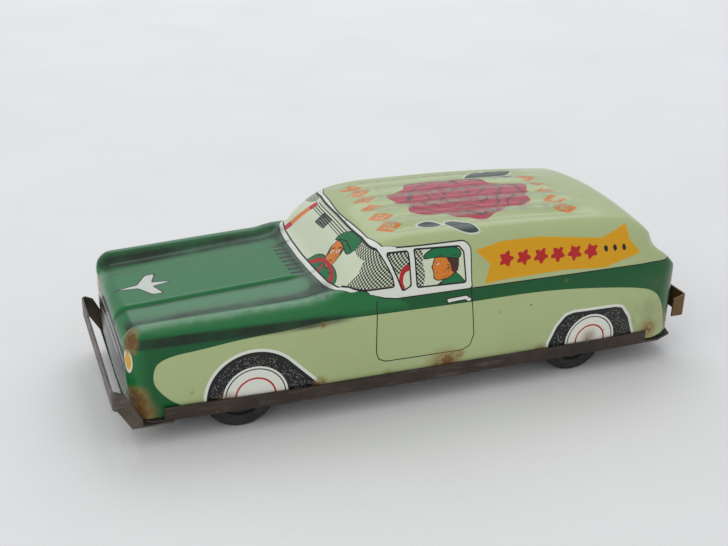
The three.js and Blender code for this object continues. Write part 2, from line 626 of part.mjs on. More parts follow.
function flywheel() {
  const x0 = -1.6;
  const x1 = x0 + FLYWHEEL_WIDTH;
  const r = FLYWHEEL_RADIUS;
  return turned([
    [ARBOR_BORE, x0], [2.6, x0], [2.9, x0 + 1.2], [r - 1.8, x0 + 1.2], [r - 1.4, x0], [r - 0.4, x0], [r, x0 + 0.4],
    [r, x1 - 0.4], [r - 0.4, x1], [r - 1.4, x1], [r - 1.8, x1 - 1.2], [2.9, x1 - 1.2], [2.6, x1],
    [ARBOR_BORE, x1], [ARBOR_BORE, x0],
  ], 28);
}

const arbor = () => rod(ARBOR_RADIUS, -FRAME_HALF - FRAME_TIN - 0.5, FRAME_HALF + FRAME_TIN + 0.5, 16);

const FOOT_WIDTH = 4.2;
const RIVET_RADIUS = 0.8;
const FRAME_FRONT = FLYWHEEL_AT.y - FLYWHEEL_RADIUS + 2;
const FRAME_TOP = FLYWHEEL_AT.z + FLYWHEEL_RADIUS + 0.9;
const FRAME_FOOT = FLOOR_TOP + FIXED_GAP;

function rivetPlaces() {
  const x = FRAME_HALF + FRAME_TIN + FOOT_WIDTH / 2;
  return [-x, x].flatMap((at) => [[at, FRAME_FRONT + 3], [at, REAR_AXLE_Y - 6.5]]);
}

// One strip, folded into a bridge over the flywheel, two side plates and two feet.
function motorFrame() {
  const bore = (AXLE_RADIUS + RUN_GAP) / Math.cos(Math.PI / 16);
  const arborHole = (ARBOR_RADIUS + RUN_GAP) / Math.cos(Math.PI / 16);
  const earFoot = Math.min(FRAME_FOOT, WHEEL_RADIUS - 2.3);
  const outline = [
    [FRAME_FRONT, FRAME_FOOT], [REAR_AXLE_Y - AXLE_EAR_HALF, FRAME_FOOT], [REAR_AXLE_Y - AXLE_EAR_HALF, earFoot],
    [REAR_AXLE_Y + AXLE_EAR_HALF, earFoot], [REAR_AXLE_Y + AXLE_EAR_HALF, WHEEL_RADIUS + 3.2],
    [IDLER_AT.y + 4.4, IDLER_AT.z + 2.6], [FLYWHEEL_AT.y + 5, FRAME_TOP + FRAME_TIN],
    [FLYWHEEL_AT.y - 5, FRAME_TOP + FRAME_TIN], [FRAME_FRONT, FRAME_TOP - 4],
  ];
  const holes = [
    [REAR_AXLE_Y, WHEEL_RADIUS, bore], [IDLER_AT.y, IDLER_AT.z, arborHole], [FLYWHEEL_AT.y, FLYWHEEL_AT.z, arborHole],
  ];
  const pieces = [];
  for (const hand of [-1, 1]) {
    const [x0, x1] = mirrored(hand, FRAME_HALF, FRAME_HALF + FRAME_TIN);
    pieces.push(plate(outline, x0, x1, holes));
    const [x2, x3] = mirrored(hand, FRAME_HALF, FRAME_HALF + FRAME_TIN + FOOT_WIDTH);
    pieces.push(box(x2, x3, FRAME_FRONT, REAR_AXLE_Y - 4, FRAME_FOOT, FRAME_FOOT + FRAME_TIN));
  }
  const bridge = FRAME_HALF + FRAME_TIN;
  pieces.push(box(-bridge, bridge, FLYWHEEL_AT.y - 4.8, FLYWHEEL_AT.y + 4.8, FRAME_TOP, FRAME_TOP + FRAME_TIN));
  const drills = rivetPlaces().map(([x, y]) =>
    upright(rod(RIVET_RADIUS + FIXED_GAP / 2, -2, 2, 12)).translate(x, y, FRAME_FOOT));
  return cut(union(pieces), drills);
}

// A rivet with its head on the frame's foot and its end spread under the base.
function rivet() {
  const top = FRAME_FOOT + FRAME_TIN + 0.1;
  const under = FLOOR_Z - 0.1;
  const head = 1.5;
  return upright(turned([
    [0, under - 0.5], [head - 0.4, under - 0.5], [head, under - 0.2], [head, under], [RIVET_RADIUS, under],
    [RIVET_RADIUS, top], [head, top], [head, top + 0.3], [head - 0.5, top + 0.7], [0, top + 0.8],
  ], 12));
}

// ---------------------------------------------------------------- assembly

const car = new THREE.Group();

function add(name, geometry, material, x = 0, y = 0, z = 0) {
  const mesh = new THREE.Mesh(geometry, material);
  mesh.name = name;
  mesh.position.set(x, y, z);
  car.add(mesh);
  return mesh;
}

add("body_shell", bodyShell(), BODY_GREEN);
add("base_plate", basePlate(), BASE_BROWN);
add("front_bumper", frontBumper(), BUMPER_TIN);
add("rear_bumper", rearBumper(), BUMPER_TIN);

for (const [end, y] of [["front", FRONT_AXLE_Y], ["rear", REAR_AXLE_Y]]) {
  add(end + "_axle", axle(), STEEL, 0, y, WHEEL_RADIUS);
  for (const [side, hand] of [["right", -1], ["left", 1]]) {
    const wheelHub = add(`${end}_hub_${side}`, hub(), BARE_TIN, hand * TYRE_MID_X, y, WHEEL_RADIUS);
    const wheelTyre = add(`${end}_tyre_${side}`, tyre(), RUBBER, hand * TYRE_MID_X, y, WHEEL_RADIUS);
    if (hand < 0) {
      wheelHub.rotation.z = Math.PI;
      wheelTyre.rotation.z = Math.PI;
    }
  }
}

add("motor_frame", motorFrame(), BARE_TIN);
rivetPlaces().forEach(([x, y], i) => add(`motor_rivet_${i + 1}`, rivet(), STEEL, x, y, 0));
add("drive_gear", driveGear(), BRASS, 0, REAR_AXLE_Y, WHEEL_RADIUS);
add("idler_arbor", arbor(), STEEL, 0, IDLER_AT.y, IDLER_AT.z);
add("idler_pinion", idlerPinion(), BRASS, 0, IDLER_AT.y, IDLER_AT.z);
add("idler_gear", idlerGear(), BRASS, 0, IDLER_AT.y, IDLER_AT.z);
add("flywheel_arbor", arbor(), STEEL, 0, FLYWHEEL_AT.y, FLYWHEEL_AT.z);
add("flywheel_pinion", flywheelPinion(), BRASS, 0, FLYWHEEL_AT.y, FLYWHEEL_AT.z);
add("flywheel", flywheel(), LEAD, 0, FLYWHEEL_AT.y, FLYWHEEL_AT.z);

export default car;
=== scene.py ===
import math

import bpy
import numpy as np
from mathutils import Matrix, Vector


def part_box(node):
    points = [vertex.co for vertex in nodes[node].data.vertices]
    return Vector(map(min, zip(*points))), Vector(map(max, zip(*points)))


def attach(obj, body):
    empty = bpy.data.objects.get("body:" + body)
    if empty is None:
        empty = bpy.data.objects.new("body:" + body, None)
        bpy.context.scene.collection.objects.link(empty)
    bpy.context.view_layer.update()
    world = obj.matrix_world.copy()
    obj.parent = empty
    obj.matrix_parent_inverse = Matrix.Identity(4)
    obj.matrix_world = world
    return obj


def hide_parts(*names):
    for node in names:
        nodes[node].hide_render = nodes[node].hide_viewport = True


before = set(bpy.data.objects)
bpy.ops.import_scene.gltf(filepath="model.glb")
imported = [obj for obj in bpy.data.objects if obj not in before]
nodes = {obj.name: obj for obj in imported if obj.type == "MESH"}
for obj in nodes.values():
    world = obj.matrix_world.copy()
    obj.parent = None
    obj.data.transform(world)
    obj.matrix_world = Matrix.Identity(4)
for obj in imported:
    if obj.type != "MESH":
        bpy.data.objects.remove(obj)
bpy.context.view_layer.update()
MM = 0.001

# ------------------------------------------------------------------ camera
# The car is seen from its left, a little from in front and from above, through a moderate lens.
CAMERA_AZIMUTH = math.radians(69.25)
CAMERA_ELEVATION = math.radians(23.49)
CAMERA_ROLL = math.radians(1.15)
CAMERA_DISTANCE = 278.9 * MM
AIM = Vector((0, -7.39, 23.76)) * MM
back = Vector((
    math.sin(CAMERA_AZIMUTH) * math.cos(CAMERA_ELEVATION),
    -math.cos(CAMERA_AZIMUTH) * math.cos(CAMERA_ELEVATION),
    math.sin(CAMERA_ELEVATION),
))
camera = bpy.data.objects.new("camera", bpy.data.cameras.new("camera"))
camera.data.lens = 53.87
camera.data.sensor_width = 36
camera.data.clip_start = 0.01
camera.data.clip_end = 20
level = back.to_track_quat("Z", "Y").to_matrix()
turned = level @ Matrix.Rotation(CAMERA_ROLL, 3, "Z")
camera.matrix_world = Matrix.Translation(AIM + back * CAMERA_DISTANCE) @ turned.to_4x4()
bpy.context.scene.collection.objects.link(camera)
bpy.context.scene.camera = camera

# ------------------------------------------------------------------ floor and light
# A sheet of pale, faintly mottled cloth in a bright room: one wide soft light from above and behind, a weaker
# one from the front, and a narrow doorway that draws a highlight along the near edges.


def linear(colour):
    """An sRGB hex value as linear red, green, blue and alpha."""
    parts = [int(colour[i : i + 2], 16) / 255 for i in (1, 3, 5)]
    return [c / 12.92 if c <= 0.04045 else ((c + 0.055) / 1.055) ** 2.4 for c in parts] + [1]


def feed(socket, value):
    """Links another node's output into a socket, or sets the socket to a plain value."""
    if isinstance(value, bpy.types.NodeSocket):
        tree.links.new(value, socket)
    else:
        socket.default_value = value


def add(kind, settings=(), inputs=()):
    """Adds a node to the open material, sets its properties and feeds its sockets."""
    node = tree.nodes.new(kind)
    for key, value in dict(settings).items():
        setattr(node, key, value)
    for key, value in dict(inputs).items():
        feed(node.inputs[key], value)
    return node


def material(name):
    """Opens a material, to which add() adds until the next one opens. Returns it and its surface shader."""
    global tree, place
    made = bpy.data.materials.new(name)
    made.use_nodes = True
    tree = made.node_tree
    place = add("ShaderNodeTexCoord").outputs["Object"]
    return made, tree.nodes["Principled BSDF"]


def grain(per_mm, detail=2, rough=0.5):
    """Soft noise with so many grains in a millimetre."""
    inputs = {"Scale": per_mm * 1000, "Detail": detail, "Roughness": rough, "Vector": place}
    return add("ShaderNodeTexNoise", inputs=inputs).outputs["Fac"]


def lay_over(under, mask, colour):
    """Lays a colour over what is there already, as strongly as the mask says."""
    inputs = {"A": under, "B": linear(colour), "Factor": mask}
    return add("ShaderNodeMix", {"data_type": "RGBA"}, inputs).outputs["Result"]


def piece(name, points, faces, finishes, smooth_angle=None):
    """A mesh object from points in millimetres. finishes are its materials."""
    mesh = bpy.data.meshes.new(name)
    mesh.from_pydata((np.asarray(points, float) * MM).tolist(), [], faces)
    mesh.update()
    for finish in finishes:
        mesh.materials.append(finish)
    if smooth_angle is not None:
        mesh.shade_smooth()
        mesh.set_sharp_from_angle(angle=math.radians(smooth_angle))
    made = bpy.data.objects.new(name, mesh)
    bpy.context.scene.collection.objects.link(made)
    return made


# Brushed cotton: matt, softly blotched, with a short nap that is drawn coarser than real so that it shows.
CLOTH_COLOUR = "#f0f0ee"
CLOTH_SHADE = "#e6e4e1"
cloth, shader = material("brushed_cotton_backdrop")
feed(shader.inputs["Base Color"], lay_over(linear(CLOTH_COLOUR), grain(0.014, 5), CLOTH_SHADE))
nap = add("ShaderNodeBump", inputs={"Strength": 0.25, "Distance": 0.4 * MM, "Height": grain(0.9, 4)})
feed(shader.inputs["Normal"], nap.outputs["Normal"])
feed(shader.inputs["Roughness"], 0.95)
FLOOR_HALF = 3000
floor_corners = [(FLOOR_HALF * u, FLOOR_HALF * v, 0) for u, v in ((-1, -1), (1, -1), (1, 1), (-1, 1))]
floor = piece("floor", floor_corners, [(0, 1, 2, 3)], [cloth])

world = bpy.data.worlds.new("room")
world.use_nodes = True
sky = world.node_tree.nodes["Background"]
sky.inputs["Color"].default_value = linear("#e6e9ee")
sky.inputs["Strength"].default_value = 0.8
bpy.context.scene.world = world
bpy.context.scene.view_settings.view_transform = "Standard"


def soft_light(name, at, width, height, watts, colour):
    """A rectangular light that shines at the middle of the car."""
    lamp = bpy.data.objects.new(name, bpy.data.lights.new(name, "AREA"))
    lamp.data.shape = "RECTANGLE"
    lamp.data.size = width
    lamp.data.size_y = height
    lamp.data.energy = watts
    lamp.data.color = linear(colour)[:3]
    lamp.location = at
    lamp.rotation_mode = "QUATERNION"
    lamp.rotation_quaternion = (Vector(at) - AIM).to_track_quat("Z", "Y")
    bpy.context.scene.collection.objects.link(lamp)


soft_light("window", (-0.75, 0.25, 0.95), 1.1, 0.8, 4.5, "#f4f7ff")
soft_light("room_side", (0.5, -0.9, 0.8), 0.8, 0.8, 2.0, "#fffaf0")
soft_light("doorway", (0.62, -0.5, 0.3), 0.1, 0.3, 0.35, "#ffffff")

# ------------------------------------------------------------------ printed body
# The whole van is one sheet of tinplate, printed flat by offset lithography, varnished, and then deep drawn
# into a tub: bonnet with two ridges, raked screen, ribbed roof and square tail. Its windows, wheels, doors,
# lamps and driver are ink. Four tabs on its lower edge hold it to the base.

TIN = 0.45
HALF_WIDTH = 26.9
FRONT_Y = -72.2
REAR_Y = 72.2
ROOF_Z = 43.8
BELT_Z = 29.3
BODY_FOOT = 6.85
NOSE_Z = 27.4
COWL_Z = 30.3
COWL_SETBACK = 48.5
COWL_Y = FRONT_Y + COWL_SETBACK
TAIL_Y = REAR_Y - 7.2
NOSE_TAPER = 1.1
TAIL_TAPER = 0.6
SCREEN_RAKE = 0.737
TUMBLEHOME = 0.1875
RIDGE_INSET = 2.8
RIDGE_RISE = 2.4
BONNET_STEP = 0.7
BONNET_HALF = 9.5
CREASE_Z = 25.3
CREASE_DEPTH = 0.9
RIB_PITCH = 7.1
RIB_DEPTH = 0.35


def mix(a, b, t):
    """Goes from a to b as t goes from 0 to 1."""
    return a + (b - a) * t


def ramp(start, end, t):
    """A smooth rise from 0 at start to 1 at end."""
    s = np.clip((t - start) / (end - start), 0, 1)
    return s * s * (3 - 2 * s)


def outside(a, b, radius):
    """Two faces that meet in a rounded outside corner."""
    flat = np.minimum(np.maximum(a, b), -radius)
    return flat + np.hypot(np.maximum(a + radius, 0), np.maximum(b + radius, 0))


def inside(a, b, radius):
    """Two faces that meet in a rounded inside corner."""
    flat = np.maximum(np.minimum(a, b), radius)
    return flat - np.hypot(np.maximum(radius - a, 0), np.maximum(radius - b, 0))


def half_width(y):
    """Half the body's width below the belt, which narrows towards both ends."""
    narrower = NOSE_TAPER * ramp(FRONT_Y + 42, FRONT_Y, y) + TAIL_TAPER * ramp(REAR_Y - 30, REAR_Y, y)
    return HALF_WIDTH - narrower


def side_x(y, z):
    """The side wall, with a groove along the bonnet and a slight lean behind it."""
    bonnet = 1 - ramp(COWL_Y - 2, COWL_Y + 12, y)
    groove = CREASE_DEPTH * ramp(CREASE_Z - 1, CREASE_Z + 0.4, z) * bonnet
    lean = 0.6 * ramp(CREASE_Z - 1, BELT_Z, z) * (1 - bonnet)
    return half_width(y) - groove - lean


def bonnet_z(x, y):
    """The height of the bonnet: a raised middle, two valleys and two ridges over the wings."""
    along = np.clip((y - FRONT_Y) / COWL_SETBACK, 0, 1)
    off = np.abs(x)
    ridge_x = half_width(y) - RIDGE_INSET
    step = BONNET_STEP * (1 - ramp(COWL_Y - 7, COWL_Y - 1, y))
    middle = mix(NOSE_Z, COWL_Z, along) - step * ramp(BONNET_HALF - 0.6, BONNET_HALF + 0.9, off)
    valley = 0.6 * ramp(BONNET_HALF, ridge_x - 4, off)
    ridge = RIDGE_RISE * ramp(ridge_x - 4.5, ridge_x - 0.8, off)
    return middle - valley + ridge * mix(1, 0.6, along) - 3 * ramp(TAIL_Y - 4, REAR_Y, y)


def roof_z(x, y):
    """The height of the crowned roof, with its pressed ribs."""
    ribbed = ramp(-12, -4, y) * (1 - ramp(38, 48, y)) * (1 - ramp(17, 20, np.abs(x)))
    rib = RIB_DEPTH * np.cos(2 * np.pi * x / RIB_PITCH) * ribbed
    return ROOF_Z - 0.005 * x * x - 0.0095 * np.minimum(y, 0) ** 2 - 0.0012 * np.maximum(y - 12, 0) ** 2 + rib


def body_field(x, y, z):
    """Negative inside the body, zero on its outer face, and close to a distance in millimetres."""
    off = np.abs(x)
    nose = FRONT_Y + 0.0008 * x * x + 0.05 * np.maximum(15 - z, 0) - y
    stern = y - (REAR_Y - 0.0012 * x * x)
    lower = outside(off - side_x(y, z), z - bonnet_z(x, y), 2.6)
    lower = outside(lower, nose, mix(3, 4.2, np.clip(off / HALF_WIDTH, 0, 1)))
    lower = outside(lower, stern, 8)
    above = np.maximum(z - BELT_Z, -3)
    screen = (COWL_Y + SCREEN_RAKE * (z - COWL_Z) + 0.0013 * x * x - y) * 0.805
    upper = outside(off - (HALF_WIDTH - 0.8 - TUMBLEHOME * above), screen, 5.5)
    upper = outside(upper, z - roof_z(x, y), 4)
    upper = outside(upper, (y - (TAIL_Y - 0.35 * above)) * 0.94, 7)
    return inside(lower, upper, mix(2.5, 0.25, ramp(HALF_WIDTH - 7, HALF_WIDTH - 2, off)))


def press(sheet, depth):
    """Carries the sheet's points outwards from a core until they lie that deep below the outer face."""
    x, y, z = sheet.T
    core_top = mix(15, ROOF_Z - 17.8, ramp(COWL_Y - 6, COWL_Y + 10, y)) - 9 * ramp(TAIL_Y - 12, REAR_Y - 2, y)
    core = np.stack([np.clip(x, -13, 13), np.clip(y, FRONT_Y + 12, REAR_Y - 14),
                     np.minimum(np.maximum(z, BODY_FOOT), core_top)], -1)
    way = sheet - core
    way /= np.linalg.norm(way, axis=1, keepdims=True)
    near = np.zeros(len(sheet))
    far = np.full(len(sheet), 60.0)
    for _ in range(26):
        middle = (near + far) / 2
        within = body_field(*(core + way * middle[:, None]).T) < -depth
        near = np.where(within, middle, near)
        far = np.where(within, far, middle)
    return core + way * near[:, None]


def steps(*spans):
    """Evenly spaced lines in each span (from, to, spacing), each span starting where the last one ends."""
    lines = [np.array([spans[0][0]])]
    for start, end, spacing in spans:
        count = max(1, round((end - start) / spacing))
        lines.append(np.linspace(start, end, count + 1)[1:])
    return np.concatenate(lines)


def sheet_top(y):
    """The height at which the undrawn sheet's top lies, before it is pressed."""
    rise = mix(NOSE_Z, ROOF_Z, ramp(COWL_Y - 4, COWL_Y + 10, y))
    return rise * (1 - 0.38 * ramp(TAIL_Y - 6, REAR_Y, y))


def skin(across, along, rows, depth):
    """One skin of the body: points, faces that look outwards, and the ring of points along its lower edge."""
    def height(y, share):
        low = mix(BODY_FOOT, CREASE_Z - 1, np.minimum(share * 2, 1))
        return mix(low, sheet_top(y), np.maximum(share * 2 - 1, 0))

    walls = []
    for x, y, share in (
        (across[:, None], along[None], np.ones((1, 1))),
        (across[-1:, None], along[:, None], rows[None]),
        (across[:1, None], along[::-1, None], rows[None]),
        (across[:, None], along[:1, None], rows[None]),
        (across[::-1, None], along[-1:, None], rows[None]),
    ):
        walls.append(np.stack(np.broadcast_arrays(x, y, height(y, share)), -1))
    flat = np.round(np.concatenate([p.reshape(-1, 3) for p in walls]), 6)
    unique, index = np.unique(flat, axis=0, return_inverse=True)
    index = index.reshape(-1)
    faces = []
    grids = []
    start = 0
    for p in walls:
        grid = index[start : start + p.shape[0] * p.shape[1]].reshape(p.shape[:2])
        start += grid.size
        corners = [grid[:-1, :-1], grid[1:, :-1], grid[1:, 1:], grid[:-1, 1:]]
        faces.append(np.stack(corners, -1).reshape(-1, 4))
        grids.append(grid)
    _, left, right, front, rear = grids
    foot = np.concatenate([front[:, 0], left[1:, 0], rear[1:, 0], right[1:-1, 0]])
    return press(unique, depth), np.concatenate(faces), foot


def bridge(points, outer, inner):
    """Triangles that close the gap between two rings of points which start together and run the same way."""
    shares = []
    for ring in (outer, inner):
        sides = np.linalg.norm(points[np.roll(ring, -1)] - points[ring], axis=1)
        shares.append(np.concatenate([[0], np.cumsum(sides) / sides.sum()]))
    i = j = 0
    faces = []
    while i < len(outer) or j < len(inner):
        a, b = outer[i % len(outer)], inner[j % len(inner)]
        if j >= len(inner) or (i < len(outer) and shares[0][i + 1] <= shares[1][j + 1]):
            i += 1
            faces.append((a, b, outer[i % len(outer)]))
        else:
            j += 1
            faces.append((a, b, inner[j % len(inner)]))
    return faces


fine_across = steps((-HALF_WIDTH, -22, 0.6), (-22, 3, 0.6), (3, 21, 0.36), (21, HALF_WIDTH, 0.5))
fine_along = steps((FRONT_Y, -26, 0.62), (-26, -12, 0.26), (-12, 11, 0.36), (11, REAR_Y, 0.62))
outer_points, outer_faces, outer_foot = skin(fine_across, fine_along, np.linspace(0, 1, 57), 0)
coarse_across = steps((-HALF_WIDTH, HALF_WIDTH, 1.4))
coarse_along = steps((FRONT_Y, REAR_Y, 1.4))
inner_points, inner_faces, inner_foot = skin(coarse_across, coarse_along, np.linspace(0, 1, 25), TIN)
body_points = np.concatenate([outer_points, inner_points])
rim_faces = bridge(body_points, outer_foot, inner_foot + len(outer_points))
body_faces = outer_faces.tolist() + (inner_faces[:, ::-1] + len(outer_points)).tolist() + rim_faces


def from_outline(u, v, corners):
    """Distance in millimetres from a closed outline, negative inside it."""
    near = np.full(u.shape, 1e6)
    within = np.zeros(u.shape, bool)
    for (u0, v0), (u1, v1) in zip(corners, corners[1:] + corners[:1]):
        du, dv = u1 - u0, v1 - v0
        if du == dv == 0:
            continue
        along = np.clip(((u - u0) * du + (v - v0) * dv) / (du * du + dv * dv), 0, 1)
        near = np.minimum(near, np.hypot(u - u0 - along * du, v - v0 - along * dv))
        within ^= ((v0 > v) != (v1 > v)) & (u < u0 + du * (v - v0) / (dv or 1e-9))
    return np.where(within, -near, near)


def eased(corners, rounds=2):
    """The outline with its corners cut and cut again, so that it bends smoothly."""
    for _ in range(rounds):
        pairs = zip(corners, corners[1:] + corners[:1])
        corners = [(mix(a[0], b[0], t), mix(a[1], b[1], t)) for a, b in pairs for t in (0.25, 0.75)]
    return corners


def from_oval(u, v, u0, v0, half_u, half_v, tilt=0):
    """Close to a distance in millimetres from an oval, negative inside it. tilt is in degrees."""
    c, s = math.cos(math.radians(tilt)), math.sin(math.radians(tilt))
    a = (u - u0) * c + (v - v0) * s
    b = (v - v0) * c - (u - u0) * s
    return (np.hypot(a / half_u, b / half_v) - 1) * min(half_u, half_v)


def from_leaf(u, v, stalk, tip, half_wide):
    """Distance in millimetres from a pointed leaf between its stalk and its tip, negative inside it."""
    half_long = math.dist(stalk, tip) / 2
    radius = (half_long**2 + half_wide**2) / (2 * half_wide)
    cu, cv = (tip[0] - stalk[0]) / (2 * half_long), (tip[1] - stalk[1]) / (2 * half_long)
    du, dv = u - (stalk[0] + tip[0]) / 2, v - (stalk[1] + tip[1]) / 2
    along, aside = du * cu + dv * cv, np.abs(dv * cu - du * cv)
    return np.hypot(along, aside + radius - half_wide) - radius


def from_line(u, v, corners):
    """Distance in millimetres from an open line."""
    near = np.full(u.shape, 1e6)
    for (u0, v0), (u1, v1) in zip(corners, corners[1:]):
        du, dv = u1 - u0, v1 - v0
        along = np.clip(((u - u0) * du + (v - v0) * dv) / (du * du + dv * dv), 0, 1)
        near = np.minimum(near, np.hypot(u - u0 - along * du, v - v0 - along * dv))
    return near


def blob(u, v, spots):
    """A soft stain: the sum of spots (u, v, radius, strength)."""
    return sum(s * np.exp(-((u - u0) ** 2 + (v - v0) ** 2) / (r * r)) for u0, v0, r, s in spots)


x, y, z = body_points.T
off = np.abs(x)
FAR = 9.0
on_side = off > 19.5
on_front = (y < -9) & (y > -25.5) & (z > 28.5)
ink = {}


def print_ink(name, distance, where=True):
    """Adds a shape to an ink: its distance counts where the sheet shows it, and the nearest shape wins."""
    shown = np.where(where, np.minimum(distance, FAR), FAR)
    ink[name] = np.minimum(ink.get(name, FAR), shown)


def print_shape(name, u, v, corners, where=True):
    """Adds a closed outline to an ink."""
    print_ink(name, from_outline(u, v, corners), where)


# Two body colours: green bonnet, nose, belt stripe and tail, and cream doors, sides and roof.
CREAM_SIDE = [
    (-66.45, 15.8), (-66.15, 19), (-64.85, 20.8), (-61.45, 21.9), (-55.95, 22.4), (-46.85, 23.7),
    (-38.65, 24.3), (-25.65, 25.2), (-13.85, 25.2), (10.55, 25), (23.15, 25.2), (34.25, 24.9), (45.85, 23.8),
    (57.75, 22.1), (62.55, 20.5), (65.15, 17.3), (67.15, 12.1), (68.4, 5), (-57.5, 5), (-60.15, 9),
    (-62.75, 10.6), (-65.25, 13.4),
]
BELT_LINE_Z = 28.4
cowl_y = np.interp(off, [0, 9.7, 18, 22.8, 24.8, 26, 26.7], [-25.3, -25.0, -24.5, -22.9, -20.3, -15.5, -9])
up_screen = 0.593 * (y - cowl_y) + 0.805 * (z - 30.35)
border_z = np.interp(y, [-21, -17, -14, -12, -9], [30.5, 30.2, 29.5, 28.9, BELT_LINE_Z])
above_cowl = np.maximum(-up_screen, BELT_LINE_Z - z)
above_belt = np.maximum(border_z - z, (cowl_y - y) * 0.9)
upper = mix(above_cowl, above_belt, ramp(19.5, 25, off))
ink["upper"] = np.clip(upper, -FAR, FAR)
ink["cream"] = np.minimum(from_outline(y, z, eased(CREAM_SIDE)), ink["upper"])

# White frame round the screen and the side windows, and the panes inside it.
frame_y = np.interp(off, [0, 4.2, 16.6, 21.5, 22.6], [-14.3, -14.1, -13, -11.2, -8])
side_frame = from_outline(y, z, [(-30, 20), (8.1, 20), (8.1, 37.5), (-30, 37.5)]) - 2.2
whole_frame = np.minimum(y - frame_y, np.where(on_side, side_frame, FAR))
ink["frame"] = np.clip(np.maximum(whole_frame, upper), -FAR, FAR)
pane_foot = np.interp(off, [0, 20, 24, 25.9], [31.4, 31.4, 31.8, 31.1])
pane_head = np.interp(off, [0, 4.9, 15.3, 21.5], [40.5, 40.4, 40.05, 39.3])
pillar_y = np.interp(z, [30.3, 33.5, 36.4, 39.3], [-9.4, -9.9, -11.2, -12.6])
above_foot = np.where(off < 22.5, up_screen - 1.35, z - pane_foot)
screen_pane = np.maximum(np.maximum(-above_foot, (z - pane_head) * 1.15), y - pillar_y)
VENT = [(-10.2, 38.3), (-6.1, 38.4), (-5.8, 31.2), (-7.2, 30.6), (-8.2, 33.4)]
DOOR_PANE = [(-3.6, 38.6), (7.1, 38.2), (7.9, 37.2), (8.3, 30.5), (-3.3, 30.8)]
print_ink("glass", screen_pane, z > 29)
print_ink("glass", from_outline(y, z, VENT) - 0.5, on_side)
print_ink("glass", from_outline(y, z, DOOR_PANE) - 0.5, on_side)
ink["ceiling"] = np.where(on_front & (x > -13) & (x < 15.5), np.minimum(pane_head - z, 2.1), 3)
SCREEN_SHADE = [(22.6, 30.5), (23.3, 32.2), (23.6, 34.5), (22.3, 37.1), (17, 38.2), (14.5, 39.1), (15, 41),
                (29, 41), (29, 30)]
DOOR_SHADE = [(-4.4, 40), (-1.9, 40), (-2.2, 36), (-1.6, 33), (-2.4, 29.5), (-4.4, 29.5)]
VENT_SHADE = [(-12, 40), (-5, 40), (-5, 35.5), (-7, 35), (-9.2, 33), (-10, 35)]
print_shape("stipple", off, z, SCREEN_SHADE, (y < -8.5) & (z > 30))
print_shape("stipple", y, z, DOOR_SHADE, on_side & (y > -5))
print_shape("stipple", y, z, VENT_SHADE, on_side & (y > -11))
along_pane = off + 0.9 * y
ink["stipple_u"] = (along_pane + z) * 0.7071
ink["stipple_v"] = (along_pane - z) * 0.7071

# On the screen: a sun visor, the far seat's edge, and the driver behind the steering wheel.
visor = from_outline(x, z, [(-6, 36.9), (0.2, 37.2), (0.6, 39.5), (-5.6, 39.3)])
print_ink("hatch", visor, on_front)
SEAT_EDGE = [(-20.3, 30.4), (-17.6, 30.4), (-11.9, 38.9), (-13.9, 39.2)]
print_shape("skin_flat", x, z, SEAT_EDGE, on_front)
print_shape("red", x, z, [(-20.4, 30.3), (-17.5, 30.3), (-15.9, 32.8), (-18.6, 32.8)], on_front)
print_shape("red", x, z, [(-14.9, 37.6), (-12.6, 37.6), (-11.7, 39.1), (-13.9, 39.3)], on_front)
SHOULDERS = [(3.6, 29.6), (3.8, 31.9), (6, 33.3), (9.3, 34), (13.6, 33.6), (17.8, 33.3), (20.4, 32),
             (21.2, 29.6)]
print_shape("coat", x, z, eased(SHOULDERS), on_front)
FACE_X, FACE_Z, FACE_TILT = 11.9, 35.6, 22
print_shape("skin", x, z, [(10.9, 32.6), (13.4, 32.4), (13.2, 34.2), (11.2, 34.2)], on_front)
print_ink("skin", from_oval(x, z, FACE_X, FACE_Z, 2.8, 3.1, FACE_TILT), on_front)
CAP = [(7.8, 37.3), (8.8, 39.4), (12, 40.4), (15.6, 40.2), (17.5, 39), (17.6, 37.4), (16.4, 36.7),
       (13.4, 37.5), (10.4, 37.9)]
print_shape("cap", x, z, eased(CAP), on_front)
wheel_r = from_oval(x, z, 12, 30.4, 6.3, 2.8)
print_ink("red", np.abs(wheel_r) - 0.42, on_front & (z > 30.8))
print_ink("red", from_line(x, z, [(12, 30.7), (10.6, 32.0)]) - 0.4, on_front)
c, s = math.cos(math.radians(FACE_TILT)), math.sin(math.radians(FACE_TILT))


def on_face(right, up):
    """A point on the driver's tilted face, counted from its middle."""
    return FACE_X + right * c - up * s, FACE_Z + right * s + up * c


def pen(u, v, corners, width, where):
    """A black pen line."""
    print_ink("black", from_line(u, v, corners) - width / 2, where)


for hand in (-1, 1):
    print_ink("eye", from_oval(x, z, *on_face(1.05 * hand, 0.3), 0.62, 0.34, FACE_TILT), on_front)
    print_ink("black", from_oval(x, z, *on_face(1.05 * hand, 0.3), 0.27, 0.3, FACE_TILT), on_front)
    brow = [on_face(0.5 * hand, 0.95), on_face(1.1 * hand, 1.12), on_face(1.65 * hand, 0.95)]
    pen(x, z, brow, 0.3, on_front)
    print_ink("hair", from_oval(x, z, *on_face(2.45 * hand, 0.6), 0.42, 1.3, FACE_TILT), on_front)
pen(x, z, [on_face(0.12, 0.35), on_face(-0.3, -0.7), on_face(0.25, -0.78)], 0.22, on_front)
pen(x, z, [on_face(-0.8, -1.6), on_face(0, -1.75), on_face(0.8, -1.6)], 0.26, on_front)
print_ink("shade", from_oval(x, z, *on_face(2.6, -0.9), 1.7, 2.8, FACE_TILT), on_front)
pen(x, z, [(9.2, 37.9), (12.4, 38.5), (16.9, 37.7)], 0.24, on_front)
pen(x, z, [(7.4, 33), (9.6, 31.8), (10.6, 33.2)], 0.24, on_front)
pen(x, z, [(13.8, 33.2), (14.9, 31.9), (17, 32.6)], 0.24, on_front)

